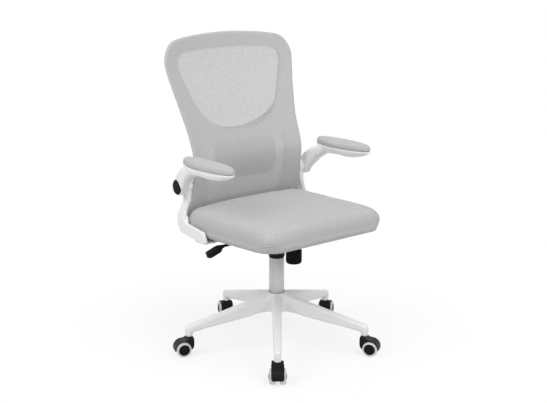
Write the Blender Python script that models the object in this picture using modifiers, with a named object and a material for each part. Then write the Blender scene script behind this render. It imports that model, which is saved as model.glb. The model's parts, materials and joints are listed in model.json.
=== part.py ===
"""Office chair: mesh back, flip-up arms, tilting seat, gas lift and a five-star base on twin-wheel casters.

Metres, +Z up. The sitter faces -Y, and the origin is on the floor under the middle of the whole chair.
"""

import math

import bmesh
import bpy
import numpy as np
from mathutils import Matrix, Vector

# Fits
GAP = 0.0003  # between pieces that touch
RUN = 0.0006  # beside a wheel that turns

# Column and base
COLUMN_Y = -0.0255  # the column's axis, ahead of the origin
STEM_CIRCLE = 0.300  # radius of the circle through the caster stems
LEGS = 5
LEG_HEADING = math.radians(37.87)  # first leg, from straight ahead towards the sitter's right
LEG_ROOT_HALF = 0.0160
LEG_TIP_HALF = 0.0125
LEG_ROOT_TOP = 0.181
LEG_ROOT_BOTTOM = 0.120
LEG_TIP_TOP = 0.101
LEG_TIP_BOTTOM = 0.075
LEG_EDGE = 0.006  # rounding of a leg's edges
HUB_TOP = 0.187
HUB_BOTTOM = 0.1185
HUB_WALL = 0.009
HUB_FLARE = 0.008  # how far the hub spreads at its foot
SOCKET_R = 0.0120

# Casters
WHEEL_R = 0.025
WHEEL_TRACK = 0.0515  # over both wheels
WHEEL_STEPS = 20
TRAIL = 0.022  # axle behind the stem
CASTER_TURNS = (0.0, 0.0, -24.0, 24.0, 0.0)  # degrees that a caster stands turned from its leg
HUB_DISC_R = 0.0183
AXLE_R = 0.003
AXLE_INSET = 0.003  # axle's end inside the wheel's outer face
AXLE_BOSS_R = 0.007
TYRE_EDGE = 0.003
DISC_RECESS = 0.0012
WEB_HALF = 0.0062  # half of the hood's wall between the wheels
HOOD_HALF = 0.0220
HOOD_WALL = 0.0024
HOOD_CLEAR = 0.0010
HOOD_FROM = math.radians(-10.0)
HOOD_TO = math.radians(186.0)
STEM_R = 0.0055
BLOCK_FRONT = -0.0125  # hood's block round the stem, from the stem's axis
BLOCK_REAR = 0.0100
BLOCK_HALF = 0.0165
BLOCK_EDGE = 0.005
STEM_REACH = 0.024  # up into the leg's socket
SOCKET_BOTTOM = 0.0640

# Gas lift
TUBE_R = 0.025
TUBE_WALL = 0.002
TUBE_BOTTOM = 0.122
TUBE_TOP = 0.304
BUSH_DEPTH = 0.050
BUSH_FLANGE = 0.0030
CYLINDER_R = 0.014
CYLINDER_BOTTOM = 0.130
CYLINDER_TOP = 0.350

# Tilt mechanism
PIN_Y = -0.045  # from the column's axis
PIN_Z = 0.357
PIN_R = 0.005
HOUSING_HALF = 0.045
HOUSING_FRONT = -0.105
HOUSING_REAR = 0.065
HOUSING_LOW = 0.332  # underside round the column
HOUSING_EDGE = 0.006
HOUSING_BEVEL = 0.012  # at the rear of the underside
HOUSING_TAIL = 0.354  # top of the rear end
NOSE_LOW = 0.3545
NOSE_HIGH = 0.374
NOSE_ROOT = 0.016  # from the pin forward to the nose's underside
TAPER_R = 0.027  # socket round the cylinder's end
PLATE_T = 0.004
PLATE_HALF = 0.088
PLATE_FRONT = -0.115
PLATE_REAR = 0.090
FLANGE_DROP = 0.010  # plate's flanges below the pin
FLANGE_REACH = 0.026  # ahead of the pin and behind it
KNOB_R = 0.026
KNOB_Y = -0.0885
KNOB_BOTTOM = 0.3045
KNOB_LOBES = 10
KNOB_EDGE = 0.003
KNOB_DIP = 0.0012

# Height lever
LEVER_Y = 0.002
PIVOT_X = -0.078
PIVOT_R = 0.0075
PIVOT_HALF = 0.009
ROD_R = 0.004
ROD_INNER = -0.060
ROD_OUTER = -0.212
PADDLE_LENGTH = 0.064
PADDLE_HALF = 0.0135
PADDLE_T = 0.0165
PADDLE_DROP = math.radians(18.0)
COLLAR_R = 0.0080
COLLAR_LENGTH = 0.016

# Seat
SEAT_TILT = math.radians(3.8)  # front edge up
SEAT_BASE = 0.0429  # cushion's underside above the pin, square to the seat
SEAT_HALF = 0.246
SEAT_FRONT = -0.230  # from the pin, along the seat
SEAT_REAR = 0.212
SEAT_CORNER = 0.055  # at the front
SEAT_REAR_CORNER = 0.027
SEAT_THICK = 0.082
SEAT_CROWN = 0.011
SEAT_RISE = 0.015  # how much thicker the cushion is at its rear edge
SEAT_ROLL = 0.018  # rounding of the top edge
SEAT_FOOT = 0.010  # the underside is drawn in by this
CROWN_REACH = 0.175  # from the rolled edge in to the flat middle
PAN_T = 0.005
PAN_INSET = 0.055

# Side brackets
BRACKET_ROOM = 0.0035  # beside the seat
BRACKET_T = 0.0120
EYE_ROOM = 0.0085  # beside the back
ARM_PIVOT_Y = 0.171
ARM_PIVOT_Z = 0.546
EYE_R = 0.023
LEG_FRONT = 0.015  # edges of the upright leg, from the pivot's plumb line
LEG_REAR = 0.020
LEG_NECK = 0.046  # narrow part below the pivot
KNEE_DROP = 0.091  # widest part below the pivot
CROTCH_DROP = 0.115
TIP_Y = 0.028  # front end of the lower leg
TIP_HIGH = 0.037
TIP_SLOPE = 0.018
HEEL_RISE = 0.013
HEEL_R = 0.036
LEAN_FROM = 0.440  # the leg leans in towards the back between these heights
LEAN_TO = 0.500
PIVOT_PIN_R = 0.009
FOOT_T = 0.006
FOOT_IN = 0.150
FOOT_FRONT = 0.036
FOOT_REAR = 0.094

# Back: half outline (x, z) from the top middle down, and the side profile (z, y)
BACK_OUTLINE = (
    (0.0, 1.0155), (0.105, 1.0115), (0.184, 1.0030), (0.224, 0.991), (0.250, 0.958), (0.256, 0.915),
    (0.237, 0.808), (0.224, 0.725), (0.221, 0.640), (0.2225, 0.540), (0.231, 0.467), (0.222, 0.436),
    (0.180, 0.425),
)
BACK_PROFILE = (
    (0.425, 0.178), (0.520, 0.151), (0.605, 0.134), (0.660, 0.143), (0.760, 0.184), (0.900, 0.236),
    (1.020, 0.260),
)
BACK_DISH = 0.026  # hollow across the back
BACK_DISH_HALF = 0.240
FRAME_T = 0.010
MESH_T = 0.0025
WINDOW_Z = 0.850  # middle of the window
WINDOW_OUTLINE = (
    (0.0, 0.9665), (0.120, 0.9625), (0.176, 0.957), (0.201, 0.942), (0.206, 0.914), (0.192, 0.864),
    (0.162, 0.788), (0.122, 0.738), (0.062, 0.713), (0.0, 0.706),
)
LOW_WINDOW_HALF_WIDE = 0.170  # opening round the lumbar pad
LOW_WINDOW_TOP = 0.675
LOW_WINDOW_BOTTOM = 0.470
LOW_WINDOW_CORNER = 0.050
TONGUE_EDGE = 0.004  # tongue for the lumbar rail, beyond the rail
LUMBAR_Z = 0.615
LUMBAR_HALF_WIDE = 0.126
LUMBAR_HALF_HIGH = 0.074
LUMBAR_CORNER = 0.040
LUMBAR_T = 0.008
LUMBAR_AHEAD = 0.008  # room between pad and mesh
LUMBAR_BEHIND = 0.014  # room between pad and frame
LUMBAR_TRAVEL = 0.012  # up and down
HOLLOW_EASE = 0.012  # full depth of the frame's hollow round the pad
HOLLOW_MARGIN = 0.072  # where the hollow runs out
GUIDE_HALF_WIDE = 0.025
GUIDE_EASE = 0.003  # guide narrower than its rail
GUIDE_HALF_HIGH = 0.015
RAIL_HALF_HIGH = 0.034
RAIL_HEIGHT = 0.004
BACK_BOSS_R = 0.012
BACK_BOSS_CLEAR = 0.002  # behind the mesh

# Arms
ARM_HUB_R = 0.027
ARM_HUB_T = 0.028
CAP_R = 0.0245
CAP_T = 0.003
CAP_SINK = 0.002  # depth of the cap's seat in the hub
PAD_OUT = 0.0170  # pad's middle outside the hub's
PAD_Y = -0.012
PAD_HALF_LONG = 0.130
PAD_HALF_WIDE = 0.0385
PAD_SEAM_Z = 0.638
PAD_RISE = math.radians(0.8)
PAD_T = 0.024
PAD_SQUARE = 1.06  # 1 is a plain oval, more is pointed
SHELL_DEPTH = 0.026
SHELL_TAPER = 0.35  # how much shallower the shell is at its front tip
NECK_T = 0.0255  # half thickness where the neck leaves the hub
NECK_BOW = 0.015  # how far the neck bows up
NECK_END_Y = 0.050

# Colours
WHITE = (0.80, 0.81, 0.82)
PALE_GREY = (0.58, 0.59, 0.60)
CLOTH_GREY = (0.50, 0.51, 0.52)
BLACK = (0.018, 0.018, 0.020)
STEEL = (0.32, 0.32, 0.33)

ROUND = 20  # sides of a small round piece
EDGE_PITCH = 0.042  # about the spacing of points along the back's edge
COLUMN_SIDES = 24
BACK_STEPS = 8  # from the outline in to the window


# Scene, materials and objects

def empty_scene():
    for item in list(bpy.data.objects):
        bpy.data.objects.remove(item)


def material(name, colour, roughness, metallic=0.0):
    made = bpy.data.materials.new(name)
    made.use_nodes = True
    shader = made.node_tree.nodes["Principled BSDF"]
    shader.inputs["Base Color"].default_value = (*colour, 1.0)
    shader.inputs["Roughness"].default_value = roughness
    shader.inputs["Metallic"].default_value = metallic
    return made


def pivot(name, location, parent=None, rotation=(0.0, 0.0, 0.0)):
    made = bpy.data.objects.new(name, None)
    PARTS.objects.link(made)
    made.parent = parent
    made.location = location
    made.rotation_euler = rotation
    made.empty_display_size = 0.03
    return made


def piece(name, mesh, look, parent):
    mesh.materials.clear()
    mesh.materials.append(look)
    mesh.shade_smooth()
    mesh.set_sharp_from_angle(angle=math.radians(35.0))
    made = bpy.data.objects.new(name, mesh)
    PARTS.objects.link(made)
    made.parent = parent
    return made


# Meshes

def from_bmesh(shape):
    bmesh.ops.recalc_face_normals(shape, faces=shape.faces[:])
    mesh = bpy.data.meshes.new("shape")
    shape.to_mesh(mesh)
    shape.free()
    return mesh


def evaluated(work):
    graph = bpy.context.evaluated_depsgraph_get()
    mesh = bpy.data.meshes.new_from_object(work.evaluated_get(graph))
    bpy.data.objects.remove(work)
    shape = bmesh.new()
    shape.from_mesh(mesh)
    bmesh.ops.remove_doubles(shape, verts=shape.verts[:], dist=1e-6)
    return from_bmesh(shape)


def working(data):
    work = bpy.data.objects.new("work", data)
    bpy.context.scene.collection.objects.link(work)
    return work


def moved(mesh, matrix):
    mesh.transform(matrix)
    if matrix.determinant() < 0.0:
        mesh.flip_normals()
    return mesh


def mirrored(mesh):
    return moved(mesh.copy(), Matrix.Scale(-1.0, 4, (1.0, 0.0, 0.0)))


def combine(first, second, operation):
    work = working(first)
    tool = working(second)
    tool.hide_render = True
    tool.display_type = "WIRE"
    joint = work.modifiers.new("joint", "BOOLEAN")
    joint.object = tool
    joint.operation = operation
    mesh = evaluated(work)
    bpy.data.objects.remove(tool)
    return mesh


def union(first, *others):
    for other in others:
        first = combine(first, other, "UNION")
    return first


def cut(first, *others):
    for other in others:
        first = combine(first, other, "DIFFERENCE")
    return first


def box(low, high):
    low, high = Vector(low), Vector(high)
    shape = bmesh.new()
    bmesh.ops.create_cube(shape, size=1.0)
    scale = Matrix.Diagonal((*(high - low), 1.0))
    bmesh.ops.transform(shape, matrix=Matrix.Translation((low + high) / 2.0) @ scale, verts=shape.verts[:])
    return from_bmesh(shape)


def bar(radius, start, end, sides=ROUND):
    """Round bar between two points."""
    start, end = Vector(start), Vector(end)
    along = end - start
    shape = bmesh.new()
    bmesh.ops.create_cone(
        shape, cap_ends=True, segments=sides, radius1=radius, radius2=radius, depth=along.length
    )
    turn = along.to_track_quat("Z", "Y").to_matrix().to_4x4()
    bmesh.ops.transform(shape, matrix=Matrix.Translation((start + end) / 2.0) @ turn, verts=shape.verts[:])
    return from_bmesh(shape)


def turned(profile, steps=ROUND, ring=False):
    """Profile of (radius, height) points turned about Z; a ring's profile closes on itself."""
    mesh = bpy.data.meshes.new("profile")
    count = len(profile)
    edges = [(i, i + 1) for i in range(count - 1)]
    if ring:
        edges.append((count - 1, 0))
    mesh.from_pydata([(r, 0.0, z) for r, z in profile], edges, [])
    work = working(mesh)
    screw = work.modifiers.new("screw", "SCREW")
    screw.steps = steps
    screw.render_steps = steps
    screw.use_merge_vertices = True
    screw.merge_threshold = 1e-5
    return evaluated(work)


def slab(outline, thickness):
    """Flat outline of (x, y) points, as thick as given about z = 0."""
    curve = bpy.data.curves.new("outline", "CURVE")
    curve.dimensions = "2D"
    curve.fill_mode = "BOTH"
    curve.extrude = thickness / 2.0
    line = curve.splines.new("POLY")
    line.points.add(len(outline) - 1)
    for point, (x, y) in zip(line.points, outline):
        point.co = (x, y, 0.0, 1.0)
    line.use_cyclic_u = True
    return evaluated(working(curve))


def loft(rings, around=False, frontal=False):
    """Closed skin over rings of equally many points; the ends close flat, or join each other.

    A frontal skin splits its faces along the diagonal that is shorter as seen from the front.
    """
    shape = bmesh.new()
    rows = [[shape.verts.new(point) for point in ring] for ring in rings]
    pairs = list(zip(rows, rows[1:]))
    if around:
        pairs.append((rows[-1], rows[0]))
    else:
        shape.faces.new(rows[0])
        shape.faces.new(rows[-1])
    count = len(rings[0])
    for row, after in pairs:
        for i in range(count):
            j = (i + 1) % count
            first, second = after[j].co - row[i].co, after[i].co - row[j].co
            if frontal and second.xz.length < first.xz.length:
                shape.faces.new((row[i], row[j], after[i]))
                shape.faces.new((row[j], after[j], after[i]))
            else:
                shape.faces.new((row[i], row[j], after[j]))
                shape.faces.new((row[i], after[j], after[i]))
    return from_bmesh(shape)


# Outlines

def rounded(corners, steps=5):
    """Outline through (x, y, radius) corners."""
    outline = []
    for i, (x, y, radius) in enumerate(corners):
        here = Vector((x, y))
        back = (Vector(corners[i - 1][:2]) - here).normalized()
        ahead = (Vector(corners[(i + 1) % len(corners)][:2]) - here).normalized()
        if radius == 0.0:
            outline.append(here)
            continue
        half = back.angle(ahead) / 2.0
        centre = here + (back + ahead).normalized() * radius / math.sin(half)
        first = here + back * radius / math.tan(half) - centre
        last = here + ahead * radius / math.tan(half) - centre
        sweep = -first.angle_signed(last)
        for k in range(steps + 1):
            outline.append(centre + Matrix.Rotation(sweep * k / steps, 2) @ first)
    return outline


def smooth(points, closed, steps=6):
    """Catmull-Rom curve through points."""
    count = len(points)
    points = [Vector(p) for p in points]
    spans = count if closed else count - 1
    curve = []
    for i in range(spans):
        if closed:
            a, b, c, d = (points[(i + k) % count] for k in (-1, 0, 1, 2))
        else:
            a, b, c, d = (points[min(max(i + k, 0), count - 1)] for k in (-1, 0, 1, 2))
        for k in range(steps):
            t = k / steps
            bend = (2.0 * a - 5.0 * b + 4.0 * c - d) * t * t + (3.0 * b - a - 3.0 * c + d) * t * t * t
            curve.append(0.5 * (2.0 * b + (c - a) * t + bend))
    if not closed:
        curve.append(points[-1])
    return curve


def evenly(outline, count):
    """A closed outline's points, evenly spaced along it."""
    loop = [Vector(p) for p in outline]
    loop.append(loop[0])
    reach = np.cumsum([0.0] + [(b - a).length for a, b in zip(loop, loop[1:])])
    where = np.linspace(0.0, reach[-1], count, endpoint=False)
    axes = [np.interp(where, reach, [p[k] for p in loop]) for k in (0, 1)]
    return [Vector((float(x), float(y))) for x, y in zip(*axes)]


def section(half, low, high, radius, steps=1):
    """Upright section with rounded corners, as (across, height) points."""
    radius = min(radius, 0.9 * half, 0.45 * (high - low))
    corners = ((half, low, radius), (half, high, radius), (-half, high, radius), (-half, low, radius))
    return rounded(corners, steps)


# Base and casters

def heading(index):
    angle = LEG_HEADING + index * math.tau / LEGS
    return math.atan2(-math.cos(angle), -math.sin(angle))


def leg():
    """One leg along +X, its tip round about the caster stem."""
    root = TUBE_R
    stops = [root, root + 0.18 * STEM_CIRCLE, root + 0.5 * STEM_CIRCLE, STEM_CIRCLE]
    rings = []
    for reach in stops:
        along = (reach - root) / (STEM_CIRCLE - root)
        half = LEG_ROOT_HALF + (LEG_TIP_HALF - LEG_ROOT_HALF) * along
        low = LEG_ROOT_BOTTOM + (LEG_TIP_BOTTOM - LEG_ROOT_BOTTOM) * along
        high = LEG_ROOT_TOP + (LEG_TIP_TOP - LEG_ROOT_TOP) * along
        rings.append([(reach, u, z) for u, z in section(half, low, high, LEG_EDGE)])
    for turn in (35.0, 62.0, 82.0):
        turn = math.radians(turn)
        reach = STEM_CIRCLE + LEG_TIP_HALF * math.sin(turn)
        shrink = 0.004 * (1.0 - math.cos(turn))
        tip = section(LEG_TIP_HALF * math.cos(turn), LEG_TIP_BOTTOM, LEG_TIP_TOP - shrink, LEG_EDGE)
        rings.append([(reach, u, z) for u, z in tip])
    return loft(rings)


def star_base():
    outer = TUBE_R + GAP + HUB_WALL
    waist = HUB_BOTTOM + 0.5 * (HUB_TOP - HUB_BOTTOM)
    edge = 0.003
    hub = turned((
        (0.0, HUB_TOP), (outer - edge, HUB_TOP), (outer, HUB_TOP - edge), (outer + 0.002, waist),
        (outer + 0.4 * HUB_FLARE, HUB_BOTTOM + 0.35 * (waist - HUB_BOTTOM)),
        (outer + HUB_FLARE, HUB_BOTTOM + edge), (outer + HUB_FLARE, HUB_BOTTOM), (0.0, HUB_BOTTOM),
    ), COLUMN_SIDES)
    stem_top = SOCKET_BOTTOM + STEM_REACH
    for index in range(LEGS):
        spin = Matrix.Rotation(heading(index), 4, "Z")
        inside = LEG_TIP_BOTTOM + 0.3 * (LEG_TIP_TOP - LEG_TIP_BOTTOM)
        socket = bar(SOCKET_R, (STEM_CIRCLE, 0.0, SOCKET_BOTTOM), (STEM_CIRCLE, 0.0, inside), 16)
        hub = union(hub, moved(leg(), spin), moved(socket, spin))
    bore_low = (0.0, 0.0, HUB_BOTTOM - HUB_WALL)
    hub = cut(hub, bar(TUBE_R + GAP, bore_low, (0.0, 0.0, HUB_TOP + HUB_WALL), COLUMN_SIDES))
    for index in range(LEGS):
        spin = Matrix.Rotation(heading(index), 4, "Z")
        low = (STEM_CIRCLE, 0.0, SOCKET_BOTTOM - STEM_REACH)
        hole = bar(STEM_R + GAP, low, (STEM_CIRCLE, 0.0, stem_top + GAP), 12)
        hub = cut(hub, moved(hole, spin))
    return hub


def boss_floor():
    """Underside of the hood's block, just over the wheels."""
    clear = tyre_corner() + HOOD_CLEAR
    return WHEEL_R + math.sqrt(clear * clear - (TRAIL - BLOCK_REAR) ** 2)


def tyre_corner():
    """Radius of the tyre's corners: its flats touch the floor."""
    return WHEEL_R / math.cos(math.pi / WHEEL_STEPS)


def arc(radius, start, end, steps):
    angles = [start + (end - start) * k / steps for k in range(steps + 1)]
    return [Vector((radius * math.cos(a), radius * math.sin(a))) for a in angles]


def upright():
    """Carries a flat outline from the XY plane into the XZ plane through the axle."""
    return Matrix.Translation((TRAIL, 0.0, WHEEL_R)) @ Matrix.Rotation(math.pi / 2.0, 4, "X")


def hood():
    inner = tyre_corner() + HOOD_CLEAR
    outer = inner + HOOD_WALL
    fender = slab(arc(outer, HOOD_FROM, HOOD_TO, 11) + arc(inner, HOOD_TO, HOOD_FROM, 11), 2.0 * HOOD_HALF)
    middle = inner + HOOD_WALL / 2.0
    front = BLOCK_FRONT - TRAIL + HOOD_WALL
    wall = arc(middle, math.radians(25.0), math.radians(150.0), 6)
    wall.append(Vector((front, boss_floor() - WHEEL_R + HOOD_WALL)))
    wall.append(Vector((front, 0.4 * WHEEL_R)))
    wall.extend(arc(AXLE_BOSS_R, math.radians(200.0), math.radians(340.0), 4))
    web = slab(wall, 2.0 * WEB_HALF)
    shell = union(moved(fender, upright()), moved(web, upright()))
    top = SOCKET_BOTTOM - GAP
    block = slab(rounded((
        (BLOCK_FRONT, -BLOCK_HALF, BLOCK_EDGE), (BLOCK_REAR, -BLOCK_HALF, BLOCK_EDGE),
        (BLOCK_REAR, BLOCK_HALF, BLOCK_EDGE), (BLOCK_FRONT, BLOCK_HALF, BLOCK_EDGE),
    ), 3), top - boss_floor())
    shell = union(shell, moved(block, Matrix.Translation((0.0, 0.0, (top + boss_floor()) / 2.0))))
    floor = boss_floor() + HOOD_CLEAR
    shell = cut(shell, bar(STEM_R + GAP, (0.0, 0.0, floor), (0.0, 0.0, top + STEM_REACH), 12))
    across = Vector((0.0, HOOD_HALF, 0.0))
    axle = Vector((TRAIL, 0.0, WHEEL_R))
    return cut(shell, bar(AXLE_R + GAP, axle - across, axle + across, 12))


def wheel_sides():
    return WEB_HALF + RUN, WHEEL_TRACK / 2.0


def tyre():
    """Turned about Z, with its inner face at the lower height and a flat towards the floor."""
    near, far = wheel_sides()
    inner = HUB_DISC_R + GAP
    outer = tyre_corner()
    edge = TYRE_EDGE
    return turned((
        (inner, far), (outer - edge, far), (outer, far - edge), (outer, near + edge), (outer - edge, near),
        (inner, near),
    ), WHEEL_STEPS, ring=True)


def hub_disc():
    near, far = wheel_sides()
    bore = AXLE_R + GAP
    face = far - DISC_RECESS
    return turned((
        (bore, far - AXLE_INSET), (0.78 * HUB_DISC_R, face), (HUB_DISC_R, face), (HUB_DISC_R, near),
        (bore, near),
    ), WHEEL_STEPS, ring=True)


def casters(root):
    hood_mesh = hood()
    low = boss_floor() + HOOD_CLEAR + GAP
    high = SOCKET_BOTTOM + STEM_REACH
    edge = 0.2 * STEM_R
    stem_mesh = turned((
        (0.0, high), (STEM_R - edge, high), (STEM_R, high - edge), (STEM_R, low), (0.0, low),
    ), 12)
    reach = WHEEL_TRACK / 2.0 - AXLE_INSET - GAP
    axle_mesh = bar(AXLE_R, (TRAIL, -reach, WHEEL_R), (TRAIL, reach, WHEEL_R), 12)
    half_step = Matrix.Rotation(math.pi / WHEEL_STEPS, 4, "Z")
    rim = moved(tyre(), half_step)
    disc = moved(hub_disc(), half_step)
    for index in range(LEGS):
        number = index + 1
        angle = heading(index)
        place = (STEM_CIRCLE * math.cos(angle), STEM_CIRCLE * math.sin(angle), 0.0)
        turned_by = math.radians(CASTER_TURNS[index])
        stand = pivot(f"caster_{number}", place, root, (0.0, 0.0, angle + turned_by))
        piece(f"caster_stem_{number}", stem_mesh, LOOKS["steel"], stand)
        piece(f"caster_hood_{number}", hood_mesh, LOOKS["black"], stand)
        piece(f"caster_axle_{number}", axle_mesh, LOOKS["steel"], stand)
        for side, turn in (("a", -math.pi / 2.0), ("b", math.pi / 2.0)):
            axle = pivot(f"wheel_{number}{side}", (TRAIL, 0.0, WHEEL_R), stand, (turn, 0.0, 0.0))
            piece(f"tyre_{number}{side}", rim, LOOKS["white"], axle)
            piece(f"wheel_hub_{number}{side}", disc, LOOKS["black"], axle)


# Gas lift

def gas_lift(root):
    inside = TUBE_R - TUBE_WALL
    walls = ((TUBE_R, TUBE_TOP), (TUBE_R, TUBE_BOTTOM), (inside, TUBE_BOTTOM), (inside, TUBE_TOP))
    tube = turned(walls, COLUMN_SIDES, ring=True)
    piece("gas_tube", tube, LOOKS["white"], root)
    bore = CYLINDER_R + GAP
    seat = TUBE_TOP + GAP
    rim = seat + BUSH_FLANGE
    edge = BUSH_FLANGE / 3.0
    foot = TUBE_TOP - BUSH_DEPTH
    bush = turned((
        (bore, rim), (TUBE_R - edge, rim), (TUBE_R, rim - edge), (TUBE_R, seat),
        (inside - GAP, seat), (inside - GAP, foot), (bore, foot),
    ), COLUMN_SIDES, ring=True)
    piece("gas_bush", bush, LOOKS["black"], root)
    cylinder = bar(CYLINDER_R, (0.0, 0.0, CYLINDER_BOTTOM), (0.0, 0.0, CYLINDER_TOP), COLUMN_SIDES)
    piece("gas_cylinder", cylinder, LOOKS["steel"], root)


def housing_bottom():
    return TUBE_TOP + BUSH_FLANGE + 2.0 * GAP


# Tilt mechanism and lever

def seat_matrix():
    return Matrix.Translation((0.0, PIN_Y, PIN_Z)) @ Matrix.Rotation(-SEAT_TILT, 4, "X")


def plate_top():
    return SEAT_BASE - PAN_T - 2.0 * GAP


def sideways(x):
    """Carries a flat (y, z) outline into the plane x = const."""
    return Matrix(((0.0, 0.0, 1.0, x), (1.0, 0.0, 0.0, 0.0), (0.0, 1.0, 0.0, 0.0), (0.0, 0.0, 0.0, 1.0)))


def housing():
    """Nose ahead of the pin, body over the column and a socket round the cylinder's end."""
    step = 0.6 * NOSE_ROOT
    edge = HOUSING_EDGE
    outline = rounded((
        (HOUSING_FRONT, NOSE_LOW, edge), (PIN_Y - NOSE_ROOT, NOSE_LOW, edge),
        (PIN_Y - step, HOUSING_LOW, edge), (HOUSING_REAR - HOUSING_BEVEL, HOUSING_LOW, edge),
        (HOUSING_REAR, HOUSING_LOW + HOUSING_BEVEL / 2.0, edge), (HOUSING_REAR, HOUSING_TAIL, edge),
        (PIN_Y + NOSE_ROOT, NOSE_HIGH, edge), (HOUSING_FRONT, NOSE_HIGH, edge),
    ), 3)
    body = moved(slab(outline, 2.0 * HOUSING_HALF), sideways(0.0))
    low = housing_bottom()
    body = union(body, bar(TAPER_R, (0.0, 0.0, low), (0.0, 0.0, HOUSING_LOW + HOUSING_EDGE), COLUMN_SIDES))
    below = low - TAPER_R
    body = cut(body, bar(CYLINDER_R + GAP, (0.0, 0.0, below), (0.0, 0.0, CYLINDER_TOP + GAP), COLUMN_SIDES))
    side = 2.0 * HOUSING_HALF
    return cut(body, bar(PIN_R + GAP, (-side, PIN_Y, PIN_Z), (side, PIN_Y, PIN_Z), 16))


def flange_sides():
    near = HOUSING_HALF + GAP
    return near, near + PLATE_T


def seat_plate():
    """Built about the pin, in the seat's own slope."""
    top = plate_top()
    plate = box((-PLATE_HALF, PLATE_FRONT - PIN_Y, top - PLATE_T), (PLATE_HALF, PLATE_REAR - PIN_Y, top))
    near, far = flange_sides()
    for sign in (1.0, -1.0):
        low, high = sorted((sign * near, sign * far))
        flange = box((low, -FLANGE_REACH, -FLANGE_DROP), (high, FLANGE_REACH, top - PLATE_T / 2.0))
        plate = union(plate, flange)
    hole = bar(PIN_R + GAP, (-PLATE_HALF, 0.0, 0.0), (PLATE_HALF, 0.0, 0.0), 16)
    return cut(plate, hole)


def knob():
    """Grip with shallow lobes, about its own axis from its underside up."""
    top = NOSE_LOW - GAP - KNOB_BOTTOM
    rings = []
    for inset, height in ((KNOB_EDGE, 0.0), (0.0, KNOB_EDGE), (0.0, top - KNOB_EDGE), (KNOB_EDGE, top)):
        ring = []
        for k in range(2 * KNOB_LOBES):
            angle = k * math.pi / KNOB_LOBES
            radius = KNOB_R - inset - (KNOB_DIP if k % 2 else 0.0)
            ring.append((radius * math.cos(angle), radius * math.sin(angle), height))
        rings.append(ring)
    return loft(rings)


def lever_height():
    """Rod's axis below the seat plate, square to the seat."""
    return plate_top() - PLATE_T - GAP - PIVOT_R


def lever(seat):
    along = (LEVER_Y - PIN_Y) / math.cos(SEAT_TILT)
    stand = pivot("lever_axis", (PIVOT_X, along, lever_height()), seat)
    block = bar(PIVOT_R, (0.0, -PIVOT_HALF, 0.0), (0.0, PIVOT_HALF, 0.0), 20)
    block = cut(block, bar(ROD_R + GAP, (-2.0 * PIVOT_R, 0.0, 0.0), (2.0 * PIVOT_R, 0.0, 0.0), 12))
    piece("lever_pivot", block, LOOKS["black"], stand)
    outer = ROD_OUTER - PIVOT_X
    rod = bar(ROD_R, (outer, 0.0, 0.0), (ROD_INNER - PIVOT_X, 0.0, 0.0), 12)
    piece("lever_rod", rod, LOOKS["steel"], stand)
    flare = -0.35 * PADDLE_LENGTH
    small, wide, end = 0.2 * PADDLE_HALF, 0.9 * PADDLE_HALF, 0.7 * PADDLE_HALF
    grip = rounded((
        (0.0, -0.6 * PADDLE_HALF, small), (flare, -PADDLE_HALF, wide), (-PADDLE_LENGTH, -PADDLE_HALF, end),
        (-PADDLE_LENGTH, PADDLE_HALF, end), (flare, PADDLE_HALF, wide), (0.0, 0.6 * PADDLE_HALF, small),
    ), 3)
    drop = Matrix.Translation((outer, 0.0, 0.0)) @ Matrix.Rotation(-PADDLE_DROP, 4, "Y")
    paddle = moved(slab(grip, PADDLE_T), drop)
    collar = bar(COLLAR_R, (outer - 0.5 * COLLAR_LENGTH, 0.0, 0.0), (outer + COLLAR_LENGTH, 0.0, 0.0), 16)
    paddle = union(paddle, collar)
    paddle = cut(paddle, bar(ROD_R + GAP, (outer - GAP, 0.0, 0.0), (0.0, 0.0, 0.0), 12))
    piece("lever_paddle", paddle, LOOKS["black"], stand)


def mechanism(root, seat):
    piece("tilt_housing", housing(), LOOKS["black"], root)
    piece("seat_plate", seat_plate(), LOOKS["black"], seat)
    far = flange_sides()[1] + PLATE_T / 2.0
    piece("tilt_pin", bar(PIN_R, (-far, PIN_Y, PIN_Z), (far, PIN_Y, PIN_Z), 16), LOOKS["steel"], root)
    stand = pivot("knob_axis", (0.0, KNOB_Y, KNOB_BOTTOM), root)
    piece("tension_knob", knob(), LOOKS["black"], stand)
    lever(seat)


# Seat

def seat_outline(inset, count=48):
    half = SEAT_HALF - inset
    front = SEAT_FRONT + inset
    rear = SEAT_REAR - inset
    wide, tight = (max(radius - 0.5 * inset, 0.012) for radius in (SEAT_CORNER, SEAT_REAR_CORNER))
    corners = ((half, front, wide), (half, rear, tight), (-half, rear, tight), (-half, front, wide))
    return evenly(rounded(corners, 6), count)


def cushion():
    """Drawn-in foot, full sides, rolled edge and a crowned top that rises to the rear."""
    edge = SEAT_THICK - SEAT_CROWN
    foot = ((1.0, 0.0), (0.4, 0.07), (0.1, 0.20))
    roll = ((0.0, 0.45), (0.08, 0.66), (0.30, 0.84), (0.62, 0.95), (1.0, 1.0))
    rows = [(part * SEAT_FOOT, share * edge, share) for part, share in foot]
    rows += [(part * SEAT_ROLL, share * edge, share) for part, share in roll]
    steps = 5
    for step in range(1, steps + 1):
        share = step / steps
        rows.append((SEAT_ROLL + share * CROWN_REACH, edge + SEAT_CROWN * (1.0 - (1.0 - share) ** 2), 1.0))
    rings = []
    for inset, height, share in rows:
        ring = []
        for x, y in seat_outline(inset):
            back = (y - SEAT_FRONT) / (SEAT_REAR - SEAT_FRONT)
            ring.append((x, y, SEAT_BASE + height + SEAT_RISE * share * back))
        rings.append(ring)
    return loft(rings)


def seat_parts(seat):
    outline = seat_outline(PAN_INSET, 40)
    pan = moved(slab(outline, PAN_T), Matrix.Translation((0.0, 0.0, SEAT_BASE - GAP - PAN_T / 2.0)))
    piece("seat_pan", pan, LOOKS["black"], seat)
    piece("seat_cushion", cushion(), LOOKS["cloth"], seat)


# Side brackets

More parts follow.
